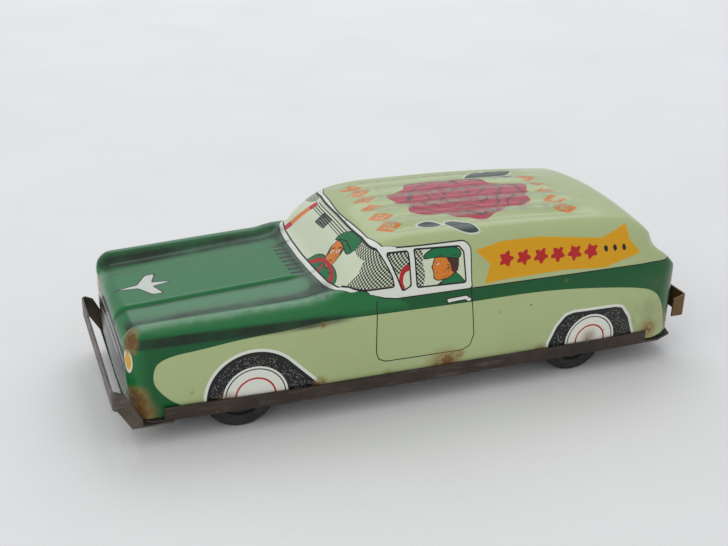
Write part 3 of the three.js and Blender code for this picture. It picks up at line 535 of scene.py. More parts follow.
# In the door window: the driver from the side, and part of the steering wheel in the quarter light.
door_view = on_side & (y > -4.2) & (y < 9)
COLLAR = [(0.6, 29.8), (2.2, 30.8), (4, 31.7), (6.2, 32.8), (7.8, 31.2), (8.8, 29.8)]
PROFILE = [(1.3, 37.3), (0.55, 36.1), (0.5, 35.4), (-0.1, 34.5), (0.45, 34.15), (0.35, 33.55), (0.55, 33.2),
           (0.45, 32.7), (0.6, 31.9), (1.3, 31.35), (2.9, 31.3), (4.5, 31.6), (6.2, 33), (6.5, 36), (5, 37.4)]
SIDE_HAIR = [(3.9, 37.2), (4.1, 35.7), (4.9, 35), (5, 33.4), (6, 32.4), (7, 33.4), (7.2, 36.7), (5.6, 37.5)]
SIDE_CAP = [(-2.3, 36.7), (-1.5, 38), (1.2, 39), (6.2, 38.8), (7.9, 37.6), (7.3, 35.8), (4, 36.6), (1.2, 36.9)]
print_shape("coat", y, z, COLLAR, door_view)
print_shape("skin", y, z, eased(PROFILE, 1), door_view)
print_shape("hair", y, z, eased(SIDE_HAIR, 1), door_view)
print_shape("cap", y, z, eased(SIDE_CAP, 1), door_view)
print_ink("eye", from_oval(y, z, 1.6, 35.2, 0.5, 0.3), door_view)
print_ink("black", from_oval(y, z, 1.45, 35.2, 0.24, 0.28), door_view)
print_ink("shade", from_oval(y, z, 4.2, 32.6, 2.3, 1.7, 20), door_view)
pen(y, z, [(0.9, 35.95), (1.6, 36.1), (2.5, 35.9)], 0.28, door_view)
pen(y, z, [(0.55, 33.3), (1.6, 33.25)], 0.24, door_view)
pen(y, z, [(4.0, 34.9), (4.55, 34.7), (4.4, 33.9), (3.9, 33.7)], 0.24, door_view)
pen(y, z, [(-1.5, 36.9), (2.5, 37.3), (7.4, 36.7)], 0.22, door_view)
pen(y, z, [(2.4, 30.9), (3.4, 30.1)], 0.24, door_view)
side_wheel = np.abs(from_oval(y, z, -5.9, 32.3, 1.9, 2.9)) - 0.5
print_ink("red", side_wheel, on_side & (y > -9) & (y < -5) & (z > 30))

# Doors, handles and the side banner with its row of blossoms and dots.
DOOR = [(-14.05, 35), (-14.05, 15.3), (-13.4, 13.4), (-11.55, 12.6), (8.35, 12.4), (10.4, 13.4), (11.3, 16.2),
        (10.05, 28.1), (9.9, 35)]
print_shape("door", y, z, DOOR, on_side & (z < BELT_LINE_Z))
print_ink("handle", from_line(y, z, [(4.1, 26.1), (8.6, 26.3), (9.6, 25.7)]) - 0.55, on_side)
BANNER = [(11.35, 37.3), (18.65, 38.6), (28.95, 38.5), (46.05, 36.4), (54.05, 38.7), (53.9, 35.5),
          (57.45, 31.4), (46.95, 28.9), (35.35, 29.7), (18.85, 29.4), (13.75, 29), (15.25, 33.6)]
print_shape("banner", y, z, BANNER, on_side)
for step in range(6):
    middle_y = 19.6 + 4.7 * step
    middle_z = 34.3 - 0.17 * step
    turn = np.arctan2(z - middle_z, y - middle_y)
    petals = np.hypot(y - middle_y, z - middle_z) - 1.62 - 0.5 * np.cos(5 * turn + 0.6 * step)
    print_ink("red", petals, on_side)
    print_ink("skin_flat", np.hypot(y - middle_y, z - middle_z) - 0.6, on_side & (petals < 0))
for step in range(3):
    print_ink("black", from_oval(y, z, 47.3 + 2.6 * step, 33.6 - 0.1 * step, 0.55, 1.0, 20), on_side)

# Printed wheels: black speckled tyre, white wall, red ring, with a white line round the arch.
FRONT_WHEEL = (-43.4, 8.7)
REAR_WHEEL = (44.3, 9.5)
to_front = np.hypot(y - FRONT_WHEEL[0], z - FRONT_WHEEL[1])
to_rear = np.hypot(y - REAR_WHEEL[0], z - REAR_WHEEL[1])
ARCH_TAIL = [FRONT_WHEEL, (-35.2, 16.6), (-28.4, 9.6), (-25.5, 5), (-43.4, 5)]
REAR_ARCH = [(32.1, 6), (32.45, 10.3), (34.4, 14.6), (36.65, 17.3), (39, 17.9), (51, 17.7), (53.05, 17.2),
             (55.3, 14), (56.85, 9.4), (57, 6)]
for arch in (to_front - 11.4, from_outline(y, z, ARCH_TAIL), from_outline(y, z, REAR_ARCH)):
    print_ink("arch", arch, on_side & (z < 22))
ink["disc"] = np.where(on_side & (z < 22), np.minimum(to_front, to_rear + 0.6), 30)

# Nose: two oval lamps, a dark grille with light bars, a winged ornament and a row of air slots on the bonnet.
around = off + np.maximum(y + 71.6, 0) * 1.2
lamp_middle = np.where(x > 0, 24.0, 20.6)
print_ink("lamp", from_oval(around - lamp_middle, z, 0, 21.0, 2.3, 3.3), (y < -66) & (z < 26))
GRILLE = [(0, 24.6), (12, 24.3), (19.5, 23), (20.6, 19.5), (19, 12.5), (15, 10.5), (0, 10)]
print_shape("grille", off, z, GRILLE, (y < -69.5) & (z < 25.2))
ink["bars"] = np.where((y < -69) & (z > 17), z + 0.006 * off * off, 60)
ORNAMENT = [(-70.2, 0), (-66.4, 0.75), (-64.9, 1.0), (-62.3, 5.6), (-59.6, 5.9), (-61.2, 1.2), (-57.2, 0.25)]
ornament = from_outline(y, x, ORNAMENT + [(u, -v) for u, v in reversed(ORNAMENT)])
print_ink("ornament", ornament, (z > 25) & (y < -54))
for step in range(8):
    slot_x = -9.4 + 2.5 * step
    slot = [(slot_x - 0.65, -29.4), (slot_x + 0.65, -29.4), (slot_x + 0.95, -26), (slot_x - 0.35, -26)]
    print_shape("black", x, y, slot, (y < -24) & (z > 28))

# Roof: a big faded rose with leaves, and a row of worn lozenges before and behind it.
ROSE_X, ROSE_Y = 4.0, 17.0
turn = np.arctan2((y - ROSE_Y) / 20.5, (x - ROSE_X) / 13.5)
reach = np.hypot((x - ROSE_X) / 13.5, (y - ROSE_Y) / 20.5)
rose_edge = 0.9 + 0.05 * np.cos(7 * turn) + 0.04 * np.cos(3 * turn + 1) + 0.025 * np.cos(17 * turn)
on_roof = z > 38.8
print_ink("rose", (reach - rose_edge) * 13.5, on_roof)
folds = 0.1 * np.sin(4 * turn + 5 * reach) + 0.07 * np.cos(7 * turn)
ink["petal"] = np.where(on_roof, reach / rose_edge + folds, 3)
LEAVES = [((16.8, -0.5), (17.6, 5.5), 1.1), ((17.0, 6.5), (21.8, 13.5), 2.0), ((-9, 24), (-13.2, 31), 1.7),
          ((-9.6, 28.6), (-13.9, 35.2), 1.6), ((-8.2, 30.8), (-8.0, 38.5), 1.7),
          ((-11, 33), (-14.2, 40.2), 1.5)]
for stalk, tip, half_wide in LEAVES:
    print_ink("leaf", from_leaf(x, y, stalk, tip, half_wide), on_roof)
for row_y, count in ((-7.2, 6), (40.5, 5)):
    for step in range(count):
        middle_x = 15.5 - 5.4 * step
        corners = [(middle_x + 2.3 * u, row_y + 3.6 * v) for u, v in ((-1, 0), (0, -1), (1, 0), (0, 1))]
        print_ink("lozenge", np.abs(from_outline(x, y, corners) + 0.55) - 0.5, on_roof)
        print_ink("lozenge", np.hypot(x - middle_x, (y - row_y) * 0.6) - 0.55, on_roof)

# Age and painted light: dirt with painted shade in the valleys, along the crease and at the cowl, a painted
# highlight along the ridge tops, worn print with a painted highlight on the roof's rib crests, rust from the
# lower edge and the nose, and a lighter green painted on the bonnet top and nose where light falls on them.
ridge_x = half_width(y) - RIDGE_INSET
on_bonnet = (1 - ramp(COWL_Y - 3, COWL_Y + 2, y)) * ramp(24.8, 26, z)
# Darker in the bonnet's valleys, in the crease below the ridges and along the cowl: partly dirt, partly
# painted shade.
valley = np.exp(-(((off - ridge_x + 4.6) / 2.9) ** 2)) + 0.5 * np.exp(-(((off - 10.4) / 0.7) ** 2))
crease = 1.9 * np.exp(-(((z - 25.2) / 0.8) ** 2)) * (1 - ramp(COWL_Y - 10, COWL_Y + 8, y)) * ramp(22, 24, off)
cowl_dirt_and_shade = np.exp(-(((y - cowl_y + 1.2) / 1.4) ** 2)) * (z > 28)
ink["dirt_and_shade"] = np.clip(valley * on_bonnet + crease + 0.6 * cowl_dirt_and_shade * on_bonnet, 0, 1.4)
# A painted highlight along the top of each bonnet ridge.
ridge_top = np.exp(-(((off - ridge_x - 0.4) / 0.8) ** 2)) * on_bonnet * (z > 27.2)
# The roof's rib crests turn grey: worn print, and a painted highlight where the ribs catch the light.
rib_crest = ramp(0.1, 0.9, np.cos(2 * np.pi * x / RIB_PITCH)) * (off < 19)
rib_crest = rib_crest * ramp(-12, -4, y) * (1 - ramp(38, 48, y))
ink["ridge_highlight"] = np.clip(ridge_top, 0, 1)
ink["crest"] = on_roof * rib_crest
RUST_SPOTS = [(-28, 9.6, 1.6, 1), (3, 9.4, 4, 0.7), (44, 10.4, 2.2, 0.7), (-69.8, 13, 2, 0.9),
              (-27.2, 24.4, 0.7, 0.9), (5, 9.8, 2.2, 1), (8, 11.5, 1, 0.7), (-50, 8.6, 2, 0.8),
              (-11, 9, 1.4, 0.6), (30, 9, 1.8, 0.7), (62, 9.6, 2.6, 0.9), (70, 11, 3, 0.8),
              (-71.4, 10, 2.6, 1.3), (-69.5, 8, 3, 1.1), (18, 21, 0.5, 0.6), (-58, 12, 0.5, 0.6),
              (36, 27, 0.5, 0.6)]
rust = blob(y, z, RUST_SPOTS)
corner_rust = blob(off, y, [(23.8, -70.4, 1.5, 1.2)]) * (z > 23)
ink["rust"] = np.clip(rust * on_side + corner_rust, 0, 1.5)
# Painted light: this mask gives the bonnet top and the nose a lighter green, as if lit from above and in
# front.
ink["stretched"] = np.maximum(ramp(25, 27.5, z) * (y < cowl_y + 3), 0.9 * ramp(-66, -71, y))
STAINS = [(60, 13, 7, 0.7), (66, 22, 6, 0.4), (24, 10, 6, 0.3), (-35, 22, 5, 0.2)]
ink["stain"] = np.where(on_side, blob(y, z, STAINS), 0)
behind_pane = (y > -25) & (y < 9.5) & (z > 29.5) & (z < 41.5)
for name in ("coat", "skin", "cap", "hair", "eye", "shade", "stipple", "hatch", "red", "black", "skin_flat"):
    ink[name] = np.where(behind_pane, np.maximum(ink[name], ink["glass"]), ink[name])

# Offset inks on white-coated tinplate under a clear varnish, IOR near 1.5: flat colour with crisp edges and an
# even sheen that age has dulled, and that rust and dirt take away. Its mirror share is low, so inks stay deep.
GREEN_INK = "#085527"
# The bonnet's lighter green is the same green ink with painted light on it.
LIT_BONNET_GREEN_INK = "#1c7039"
CREAM_INK = "#b3c18c"
WHITE_INK = "#e2e4d8"
PANE_INK = "#d3dcbf"
BLACK_INK = "#17181a"
YELLOW_INK = "#dc9f00"
RED_INK = "#b81d20"
SKIN_INK = "#dd7f27"
HAIR_INK = "#4a2a1c"
CLOTH_GREEN_INK = "#11713f"
ROSE_INK = "#a8384a"
ROSE_DARK_INK = "#5c1c28"
LEAF_INK = "#36493f"
LOZENGE_INK = "#d0741e"
LENS_INK = "#d9a234"
RUST = "#6b4120"
# Dark grey-brown for dirt and painted shade in the hollows.
DIRT_AND_SHADE = "#191b16"
litho, shader = material("lithographed_tinplate_varnished")
readers = {}


def ink_value(name):
    """The stored value of one ink."""
    if name not in readers:
        readers[name] = add("ShaderNodeAttribute", {"attribute_name": name}).outputs["Fac"]
    return readers[name]


def overlap(a, b):
    """A mask only where another one is too, or a mask made weaker by a number."""
    return add("ShaderNodeMath", {"operation": "MULTIPLY"}, {0: a, 1: b}).outputs[0]


def patches(value, start, end, low=0.0, high=1.0):
    """Patches with soft edges: low where a value is under start, rising to high at end."""
    inputs = {"Value": value, "From Min": start, "From Max": end, "To Min": low, "To Max": high}
    return add("ShaderNodeMapRange", inputs=inputs).outputs["Result"]


def dots(spacing_mm, randomness, radius):
    """1 inside each dot of a printed screen of dots. The radius is in dot spacings."""
    inputs = {"Scale": 1000 / spacing_mm, "Randomness": randomness, "Vector": place}
    screen = add("ShaderNodeTexVoronoi", inputs=inputs)
    inputs = {0: screen.outputs["Distance"], 1: radius}
    return add("ShaderNodeMath", {"operation": "LESS_THAN"}, inputs).outputs[0]


def inside_ink(name, edge=0):
    """1 inside an ink's shapes, or within another edge of them."""
    return add("ShaderNodeMath", {"operation": "LESS_THAN"}, {0: ink_value(name), 1: edge}).outputs[0]


def line_round(name, half, at=0):
    """1 on a line round an ink's shapes, or round them at another distance."""
    inputs = {0: ink_value(name), 1: at, 2: half}
    return add("ShaderNodeMath", {"operation": "COMPARE"}, inputs).outputs[0]


def repeated_lines(name, per_mm, half):
    """1 on evenly spaced lines along an ink's value."""
    part = add("ShaderNodeMath", {"operation": "FRACT"}, {0: overlap(ink_value(name), per_mm)})
    inputs = {0: part.outputs[0], 1: 0.5, 2: half}
    return add("ShaderNodeMath", {"operation": "COMPARE"}, inputs).outputs[0]


# A net of dots in the panes' corners and scattered specks on the tyres, with their spacings in millimetres.
STIPPLE_SPACING = 0.64
SPECK_SPACING = 0.42
crossed = add("ShaderNodeMath", {"operation": "ADD"})
for socket, name in zip(crossed.inputs, ("stipple_u", "stipple_v")):
    phase = overlap(ink_value(name), 2 * math.pi / STIPPLE_SPACING)
    feed(socket, add("ShaderNodeMath", {"operation": "COSINE"}, {0: phase}).outputs[0])
stipple = add("ShaderNodeMath", {"operation": "LESS_THAN"}, {0: crossed.outputs[0], 1: 0.1})
hatch = add("ShaderNodeTexVoronoi", inputs={"Scale": 1000 / 0.45, "Randomness": 0.2, "Vector": place})
face_dots = dots(0.42, 0.3, 0.3)
tyre_specks = overlap(dots(SPECK_SPACING, 1, 0.27), inside_ink("arch", -0.9))
ceiling_lines = repeated_lines("ceiling", 2.3, 0.2)
bar_lines = repeated_lines("bars", 0.3, 0.08)
petal_lines = repeated_lines("petal", 4.2, 0.12)
on_tyre = inside_ink("disc", 12.6)
in_disc = inside_ink("disc", 7.7)

# Painted light: the green is lighter where the bonnet top and nose face the light.
green_tone = lay_over(linear(GREEN_INK), ink_value("stretched"), LIT_BONNET_GREEN_INK)
cream_tone = lay_over(linear(CREAM_INK), grain(0.05, 3), "#a8b57e")
body_tones = {"A": green_tone, "B": cream_tone, "Factor": inside_ink("cream")}
colour = add("ShaderNodeMix", {"data_type": "RGBA"}, body_tones).outputs["Result"]
for mask, tint in (
    (inside_ink("frame"), WHITE_INK),
    (inside_ink("glass"), PANE_INK),
    (overlap(inside_ink("stipple"), stipple.outputs[0]), BLACK_INK),
    (overlap(overlap(inside_ink("ceiling", 2.0), inside_ink("glass", -0.3)), ceiling_lines), BLACK_INK),
    (overlap(inside_ink("hatch"), patches(hatch.outputs["Distance"], 0.2, 0.3)), BLACK_INK),
    (inside_ink("coat"), CLOTH_GREEN_INK),
    (line_round("coat", 0.11), BLACK_INK),
    (inside_ink("skin_flat"), SKIN_INK),
    (inside_ink("skin"), SKIN_INK),
    (line_round("skin", 0.11), BLACK_INK),
    (overlap(inside_ink("shade"), overlap(inside_ink("skin", -0.1), face_dots)), HAIR_INK),
    (inside_ink("hair"), HAIR_INK),
    (inside_ink("eye"), WHITE_INK),
    (inside_ink("cap"), CLOTH_GREEN_INK),
    (line_round("cap", 0.11), BLACK_INK),
    (inside_ink("banner"), YELLOW_INK),
    (line_round("door", 0.13), BLACK_INK),
    (inside_ink("handle"), WHITE_INK),
    (line_round("handle", 0.13), BLACK_INK),
    (inside_ink("arch", 0.75), WHITE_INK),
    (inside_ink("arch"), BLACK_INK),
    (tyre_specks, "#8d8d84"),
    (overlap(in_disc, inside_ink("arch")), WHITE_INK),
    (overlap(line_round("disc", 0.14, 7.05), on_tyre), BLACK_INK),
    (overlap(line_round("disc", 0.22, 4.7), on_tyre), RED_INK),
    (inside_ink("grille"), BLACK_INK),
    (overlap(inside_ink("grille", -0.3), bar_lines), WHITE_INK),
    (inside_ink("lamp"), BLACK_INK),
    (inside_ink("lamp", -0.25), "#d9d6bd"),
    (inside_ink("lamp", -0.85), LENS_INK),
    (inside_ink("ornament"), "#ccd0c6"),
    (line_round("ornament", 0.19), BLACK_INK),
    (inside_ink("leaf", 0.45), "#c9cfbd"),
    (inside_ink("leaf"), LEAF_INK),
    (inside_ink("rose"), ROSE_INK),
    (overlap(petal_lines, inside_ink("rose", -0.5)), ROSE_DARK_INK),
    (overlap(inside_ink("lozenge"), patches(grain(0.4, 3), 0.36, 0.46)), LOZENGE_INK),
    (inside_ink("red"), RED_INK),
    (inside_ink("black"), BLACK_INK),
    (line_round("upper", 0.15), BLACK_INK),
    (overlap(line_round("frame", 0.14), inside_ink("upper")), BLACK_INK),
    (line_round("glass", 0.19), BLACK_INK),
):
    colour = lay_over(colour, mask, tint)

# Over the print: dirt with painted shade in the hollows, a painted highlight on the ridges, worn print with a
# painted highlight on the rib crests, stains, rust and small flecks.
patchy = patches(grain(0.16, 5), 0.3, 0.66)
# Dirt and painted shade in the hollows.
dirt_and_shade_mask = overlap(patches(ink_value("dirt_and_shade"), 0.05, 0.7), patches(patchy, 0, 1, 0.55, 1))
colour = lay_over(colour, overlap(dirt_and_shade_mask, 0.92), DIRT_AND_SHADE)
# A painted highlight along the ridge tops, broken up a little.
ridge_highlight = overlap(ink_value("ridge_highlight"), patches(grain(0.4, 4, 0.7), 0.3, 0.7, 0.3, 0.65))
colour = lay_over(colour, ridge_highlight, "#9cb8a0")
streak = overlap(patches(ink_value("crest"), 0.05, 0.3, 1, 0), patches(grain(0.35, 3), 0.42, 0.6))
colour = lay_over(colour, overlap(overlap(streak, inside_ink("rose", -0.2)), 0.7), "#b01d30")
# Grey on the rib crests: worn print, and a painted highlight on their tops.
crest = overlap(ink_value("crest"), patches(grain(0.5, 4, 0.6), 0.4, 0.62, 0.12, 0.75))
colour = lay_over(colour, crest, "#8b8f74")
stain = overlap(ink_value("stain"), patches(grain(0.22, 4), 0.4, 0.65))
colour = lay_over(colour, overlap(stain, 0.5), "#6d6a44")
rust_edge = overlap(ink_value("rust"), patches(grain(0.8, 5, 0.7), 0.3, 0.62))
colour = lay_over(colour, patches(ink_value("rust"), 0.1, 0.6, 0, 0.62), "#8f6f3a")
colour = lay_over(colour, patches(rust_edge, 0.35, 0.75, 0, 0.8), RUST)
fleck = overlap(dots(7, 1, 0.045), patches(grain(0.9), 0.45, 0.55))
colour = lay_over(colour, overlap(fleck, 0.7), "#3d3628")
feed(shader.inputs["Base Color"], colour)
gloss = patches(grain(0.9, 4), 0.35, 0.7, 0.28, 0.35)
soiled = {0: patches(rust_edge, 0.2, 0.6, 0, 0.85), 1: patches(dirt_and_shade_mask, 0.1, 0.9, 0.2, 0.62)}
matt = add("ShaderNodeMath", {"operation": "MAXIMUM"}, soiled)
dull = add("ShaderNodeMath", {"operation": "MAXIMUM"}, {0: gloss, 1: matt.outputs[0]})
feed(shader.inputs["Roughness"], dull.outputs[0])
dents = add("ShaderNodeBump", inputs={"Strength": 0.5, "Distance": 0.14 * MM, "Height": grain(0.07, 2)})
pits = add("ShaderNodeBump", inputs={"Strength": 0.5, "Distance": 0.06 * MM, "Height": rust_edge})
feed(pits.inputs["Normal"], dents.outputs["Normal"])
feed(shader.inputs["Normal"], pits.outputs["Normal"])
feed(shader.inputs["IOR"], 1.5)
feed(shader.inputs["Specular IOR Level"], 0.2)
feed(shader.inputs["Coat Weight"], 0.3)
feed(shader.inputs["Coat Roughness"], 0.12)

# The unprinted inner side of the sheet: rolled steel under a thin bright tin coat, gone grey and freckled.
inside_tin, shader = material("tinplate_unprinted")
blotched = lay_over(linear("#aeada6"), patches(grain(0.12, 5), 0.4, 0.7), "#7b7466")
freckled = lay_over(blotched, patches(grain(0.9, 4, 0.7), 0.6, 0.68), "#5f4228")
feed(shader.inputs["Base Color"], freckled)
feed(shader.inputs["Metallic"], 0.85)
feed(shader.inputs["Roughness"], 0.42)

body = piece("printed_body", body_points, body_faces, [litho, inside_tin], 50)
printed_first = np.repeat([0, 1], [len(outer_faces), len(body_faces) - len(outer_faces)])
body.data.polygons.foreach_set("material_index", printed_first)
for name, values in ink.items():
    stored = body.data.attributes.new(name, "FLOAT", "POINT")
    stored.data.foreach_set("value", np.broadcast_to(values, x.shape).astype(np.float32))
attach(body, "car")
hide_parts("body_shell")

# ------------------------------------------------------------------ body's fixing tabs
# Four plain strips of the same tinplate, left on the body's lower edge when it is trimmed. They go through
# slots in the base and are bent over by hand.


def soften(made, width):
    """Joins split corners and gives sheet edges the small round that a press tool leaves."""
    weld = made.modifiers.new("join_corners", "WELD")
    weld.merge_threshold = 0.004 * MM
    bevel = made.modifiers.new("pressed_edges", "BEVEL")
    bevel.width = width * MM
    bevel.segments = 2
    bevel.limit_method = "ANGLE"
    bevel.angle_limit = math.radians(35)
    bevel.harden_normals = False
    return made


def strips(name, outlines, finish):
    """Closed outlines in the car's cross-section (x, z), each carried along from y0 to y1."""
    points = []
    faces = []
    for outline, y0, y1 in outlines:
        start, count = len(points), len(outline)
        points += [(px, y0, pz) for px, pz in outline] + [(px, y1, pz) for px, pz in outline]
        near = list(range(start, start + count))
        faces += [near, [i + count for i in reversed(near)]]
        for i, j in zip(near, near[1:] + near[:1]):
            faces.append([j, i, i + count, j + count])
    return piece(name, points, faces, [finish], 30)


TAB_YS = (-21.7, 17.8)
TAB_HALF = 2
TAB_REACH = 3.4
tab_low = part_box("body_shell")[0].z / MM
tabs = []
for tab_y in TAB_YS:
    for hand in (-1, 1):
        edge = float(half_width(tab_y)) - 0.02
        bent = [(edge, 7.2), (edge, tab_low + 0.3), (edge - 0.12, tab_low + 0.08), (edge - 0.4, tab_low),
                (edge - TAB_REACH, tab_low), (edge - TAB_REACH, tab_low + TIN), (edge - 0.62, tab_low + TIN),
                (edge - TIN, tab_low + 0.62), (edge - TIN, 7.2)]
        outline = [(hand * px, pz) for px, pz in bent]
        tabs.append((outline if hand > 0 else outline[::-1], tab_y - TAB_HALF, tab_y + TAB_HALF))
body_tabs = soften(strips("body_tabs", tabs, inside_tin), 0.08)
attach(body_tabs, "car")

# ------------------------------------------------------------------ base
# A shallow tray pressed from thinner tinplate, with a turned-up rim that the body stands in. Its thin dark
# brown lacquer has a low uneven sheen, is scuffed to the tin in streaks, and lets rust through.


def stretched_grain(scale, size, detail):
    """Soft noise drawn out into streaks. scale is grains in a metre along x, y and z, times size."""
    stretched = add("ShaderNodeMapping", inputs={"Scale": scale, "Vector": place}).outputs[0]
    inputs = {"Scale": size, "Detail": detail, "Vector": stretched}
    return add("ShaderNodeTexNoise", inputs=inputs).outputs["Fac"]


def lacquered(name, colour, worn, bare, wear, rough):
    """Thin coloured lacquer over tin, worn through on its outer edges, with dents and rust freckles."""
    made, shader = material(name)
    tone = lay_over(linear(colour), patches(grain(0.16, 5), 0.38, 0.66), worn)
    drag = stretched_grain((900, 60, 900), 1.6, 4)
    scrape = overlap(patches(drag, 0.56, 0.66), patches(grain(0.25, 3), 0.42, 0.6))
    tone = lay_over(tone, overlap(scrape, wear), bare)
    freckle = patches(grain(1.3, 4, 0.7), 0.58, 0.66)
    tone = lay_over(tone, overlap(overlap(freckle, patches(grain(0.12, 2), 0.45, 0.6)), 0.8), RUST)
    feed(shader.inputs["Base Color"], tone)
    feed(shader.inputs["Metallic"], patches(overlap(scrape, wear), 0.2, 0.8, 0.25, 0.9))
    feed(shader.inputs["Roughness"], patches(grain(0.5, 4), 0.35, 0.7, rough - 0.08, rough + 0.2))
    dents = add("ShaderNodeBump", inputs={"Strength": 0.6, "Distance": 0.25 * MM, "Height": grain(0.14, 3)})
    pits = add("ShaderNodeBump", inputs={"Strength": 0.35, "Distance": 0.05 * MM, "Height": grain(1.6, 4)})
    feed(pits.inputs["Normal"], dents.outputs["Normal"])
    feed(shader.inputs["Normal"], pits.outputs["Normal"])
    return made


def finish_node(name, finish, width):
    """Gives a CAD node its real finish and softened edges."""
    node = nodes[name]
    node.data.materials.clear()
    node.data.materials.append(finish)
    soften(node, width)


brown_lacquer = lacquered("brown_lacquered_tinplate", "#30261f", "#3e332b", "#756c62", 0.5, 0.42)
finish_node("base_plate", brown_lacquer, 0.1)

# ------------------------------------------------------------------ bumpers
# Two strips of heavier tin, blanked, bent at the ends and folded under the base. The front one has lost nearly
# all its bright plating and gone a greyish brown; the rear one keeps a brownish yellow lacquer.
front_tin = lacquered("worn_plated_tin_front_bumper", "#5b5249", "#463c34", "#857d72", 0.6, 0.42)
rear_tin = lacquered("yellow_lacquered_tin_rear_bumper", "#6a4f22", "#423117", "#86703f", 0.5, 0.38)
finish_node("front_bumper", front_tin, 0.12)
finish_node("rear_bumper", rear_tin, 0.12)

# ------------------------------------------------------------------ wheels
# Each wheel is a black rubber tyre on a pressed tin disc. The moulded tyre has rounded shoulders, two grooves
# and a raised ring on its wall; the disc is dished, with a raised edge and a drawn collar round the axle.


def turned_about_x(name, profile, middle, finish, sides=96, smooth_angle=32):
    """A closed profile of (x, radius) turned about an axle at middle = (y, z)."""
    points = []
    rings = []
    for px, radius in profile:
        if radius < 1e-6:
            rings.append([len(points)] * sides)
            points.append((px, middle[0], middle[1]))
            continue
        rings.append(list(range(len(points), len(points) + sides)))
        for i in range(sides):
            a = 2 * math.pi * i / sides
            points.append((px, middle[0] + radius * math.cos(a), middle[1] + radius * math.sin(a)))
    pairs = list(zip(rings, rings[1:]))
    if profile[0][1] > 1e-6:
        pairs.append((rings[-1], rings[0]))
    faces = []
    for low_ring, high_ring in pairs:
        for i in range(sides):
            j = (i + 1) % sides
            corner = [low_ring[i], low_ring[j], high_ring[j], high_ring[i]]
            corner = list(dict.fromkeys(corner))
            if len(corner) > 2:
                faces.append(corner)
    return piece(name, points, faces, [finish], smooth_angle)


def bounds_mm(node):
    """A CAD node's x range, the middle of its y and z, and its radius, in millimetres."""
    low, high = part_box(node)
    middle = ((low.y + high.y) / 2 / MM, (low.z + high.z) / 2 / MM)
    return low.x / MM, high.x / MM, middle, (high.z - low.z) / 2 / MM


# Moulded black rubber: matt, greyed by bloom and by dust in its pores, which are drawn coarser than real.
rubber, shader = material("black_moulded_rubber")
bloom = lay_over(linear("#151516"), patches(grain(0.3, 4), 0.4, 0.7), "#2b2a28")
dusty = lay_over(bloom, overlap(patches(grain(1.4, 4), 0.58, 0.7), 0.5), "#4a463f")
feed(shader.inputs["Base Color"], dusty)
feed(shader.inputs["Roughness"], patches(grain(0.8, 3), 0.3, 0.7, 0.55, 0.8))
pores = add("ShaderNodeBump", inputs={"Strength": 0.3, "Distance": 0.06 * MM, "Height": grain(2.2, 4)})
feed(shader.inputs["Normal"], pores.outputs["Normal"])
feed(shader.inputs["IOR"], 1.52)
# Near-black pressed tin: a low sheen with bare streaks.
hub_tin = lacquered("near_black_pressed_tin", "#1d1c1b", "#2c2a28", "#7b7870", 0.45, 0.4)

for end in ("front", "rear"):
    for side in ("right", "left"):
        x0, x1, middle, radius = bounds_mm(f"{end}_tyre_{side}")
        hub0, hub1, _, hub_radius = bounds_mm(f"{end}_hub_{side}")
        half = (x1 - x0) / 2
        centre = (x0 + x1) / 2
        bore = hub_radius + 0.15
        wall = radius - bore
        section = [(-0.72, 0), (-0.9, 0.1), (-0.98, 0.3), (-1, 0.42), (-1, 0.56), (-0.94, 0.6), (-0.96, 0.78),
                   (-0.86, 0.92), (-0.7, 0.99), (-0.42, 1), (-0.38, 0.93), (-0.26, 0.93), (-0.22, 1)]
        section += [(-u, v) for u, v in reversed(section)]
        tyre_profile = [(centre + half * u, bore + wall * v) for u, v in section]
        tyre = turned_about_x(f"{end}_tyre_rubber_{side}", tyre_profile, middle, rubber)
        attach(tyre, f"{end}_wheels")
        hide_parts(f"{end}_tyre_{side}")
        outward = 1 if side == "left" else -1
        rim = hub1 if outward > 0 else hub0
        depth = hub1 - hub0
        axle_radius = bounds_mm(f"{end}_axle")[3]
        collar = axle_radius + 0.06
        dish = [(0, 0.94), (0, 1), (-1, 1), (-1, 0.93), (-0.18, 0.93), (-0.12, 0.88), (-0.3, 0.8),
                (-0.34, 0.6), (-0.3, 0.5), (-0.42, 0.42), (-1, 0.42)]
        face = [(0.0, 0.94), (-0.03, 0.86), (-0.16, 0.78), (-0.2, 0.6), (-0.16, 0.48), (-0.26, 0.34)]
        profile = [(rim + outward * depth * u, hub_radius * v) for u, v in dish]
        profile += [(rim - outward * depth, collar), (rim - outward * depth * 0.26, collar)]
        profile += [(rim + outward * depth * u, hub_radius * v) for u, v in reversed(face[1:])]
        if outward > 0:
            profile = profile[::-1]
        hub = turned_about_x(f"{end}_hub_disc_{side}", profile, middle, hub_tin)
        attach(hub, f"{end}_wheels")
        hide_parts(f"{end}_hub_{side}")

# ------------------------------------------------------------------ axles and arbors
# Four drawn steel wires, cut to length with a small chamfer: two axles with a wheel pressed on each end, and
# two arbors that carry the motor's gears and flywheel.


def metal(name, colour, shade, rough, along_x=True):
    """Bare metal with a little tarnish and fine tool lines, 0.17 mm apart, coarser than real."""
    made, shader = material(name)
    tone = lay_over(linear(colour), patches(grain(0.4, 4), 0.4, 0.68), shade)
    feed(shader.inputs["Base Color"], tone)
    feed(shader.inputs["Metallic"], 1)
    turning = stretched_grain((6000, 300, 300) if along_x else (300, 6000, 300), 1, 2)
    feed(shader.inputs["Roughness"], patches(turning, 0.3, 0.7, rough, rough + 0.16))
    return made


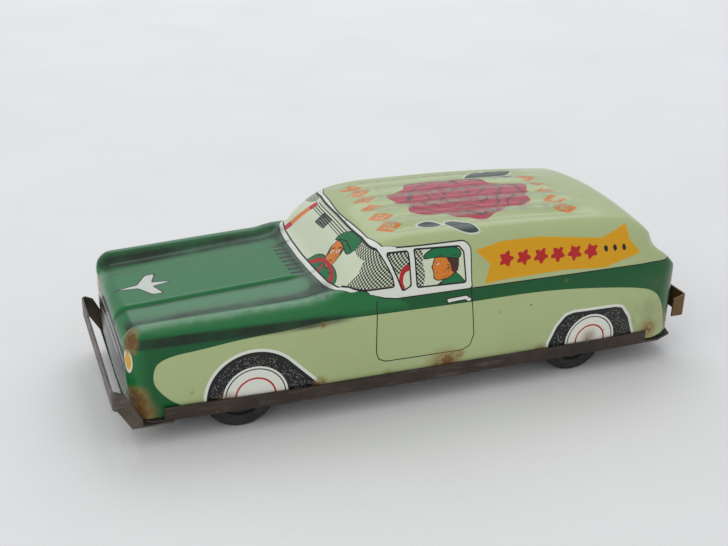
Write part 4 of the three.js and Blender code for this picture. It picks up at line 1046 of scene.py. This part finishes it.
# Drawn steel: grey, with fine lines and a soft shine.
steel = metal("drawn_steel_wire", "#a9a9a6", "#6f6a62", 0.24)
ROD_BODIES = {"front_axle": "front_wheels", "rear_axle": "rear_wheels", "idler_arbor": "idler_set",
              "flywheel_arbor": "flywheel_set"}
for name, body_name in ROD_BODIES.items():
    x0, x1, middle, radius = bounds_mm(name)
    chamfer = 0.25 * radius
    half_rod = [(x0, 0), (x0, radius - chamfer), (x0 + chamfer, radius)]
    other_half = [(x1 - chamfer, radius), (x1, radius - chamfer), (x1, 0)]
    rod = turned_about_x(f"{name}_wire", half_rod + other_half, middle, steel, 48)
    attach(rod, body_name)
    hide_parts(name)

# ------------------------------------------------------------------ friction motor
# A bent tin frame riveted to the base carries two arbors. The rear axle's brass gear drives them, through two
# pairs of hobbed brass gears, up to a heavy turned iron flywheel. Zinc is dull grey, brass warm and tarnished,
# and the iron dark with turning lines.
frame_tin = lacquered("galvanised_tin_motor_frame", "#9a9b98", "#80807b", "#bdbdb8", 0.5, 0.4)
finish_node("motor_frame", frame_tin, 0.08)
brass = metal("hobbed_brass", "#b8964e", "#8d6c34", 0.26)
for name in ("drive_gear", "idler_gear", "idler_pinion", "flywheel_pinion"):
    finish_node(name, brass, 0.05)
rivet_steel = metal("upset_steel_rivet", "#9c9b98", "#6a665f", 0.3, False)
for number in range(1, 5):
    finish_node(f"motor_rivet_{number}", rivet_steel, 0.06)
cast_iron = metal("turned_cast_iron", "#6d6c6a", "#4a4846", 0.34)
x0, x1, middle, radius = bounds_mm("flywheel")
bore = bounds_mm("flywheel_arbor")[3] + 0.15
EDGE = 0.5
RECESS = 0.8
half_wheel = [(0, bore), (0, 0.3 * radius), (RECESS, 0.36 * radius), (RECESS, 0.72 * radius),
              (0, 0.78 * radius), (0, radius - EDGE), (EDGE, radius)]
wheel_profile = [(x0 + u, v) for u, v in half_wheel] + [(x1 - u, v) for u, v in reversed(half_wheel)]
flywheel = turned_about_x("flywheel_turned", wheel_profile, middle, cast_iron)
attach(flywheel, "flywheel_set")
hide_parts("flywheel")
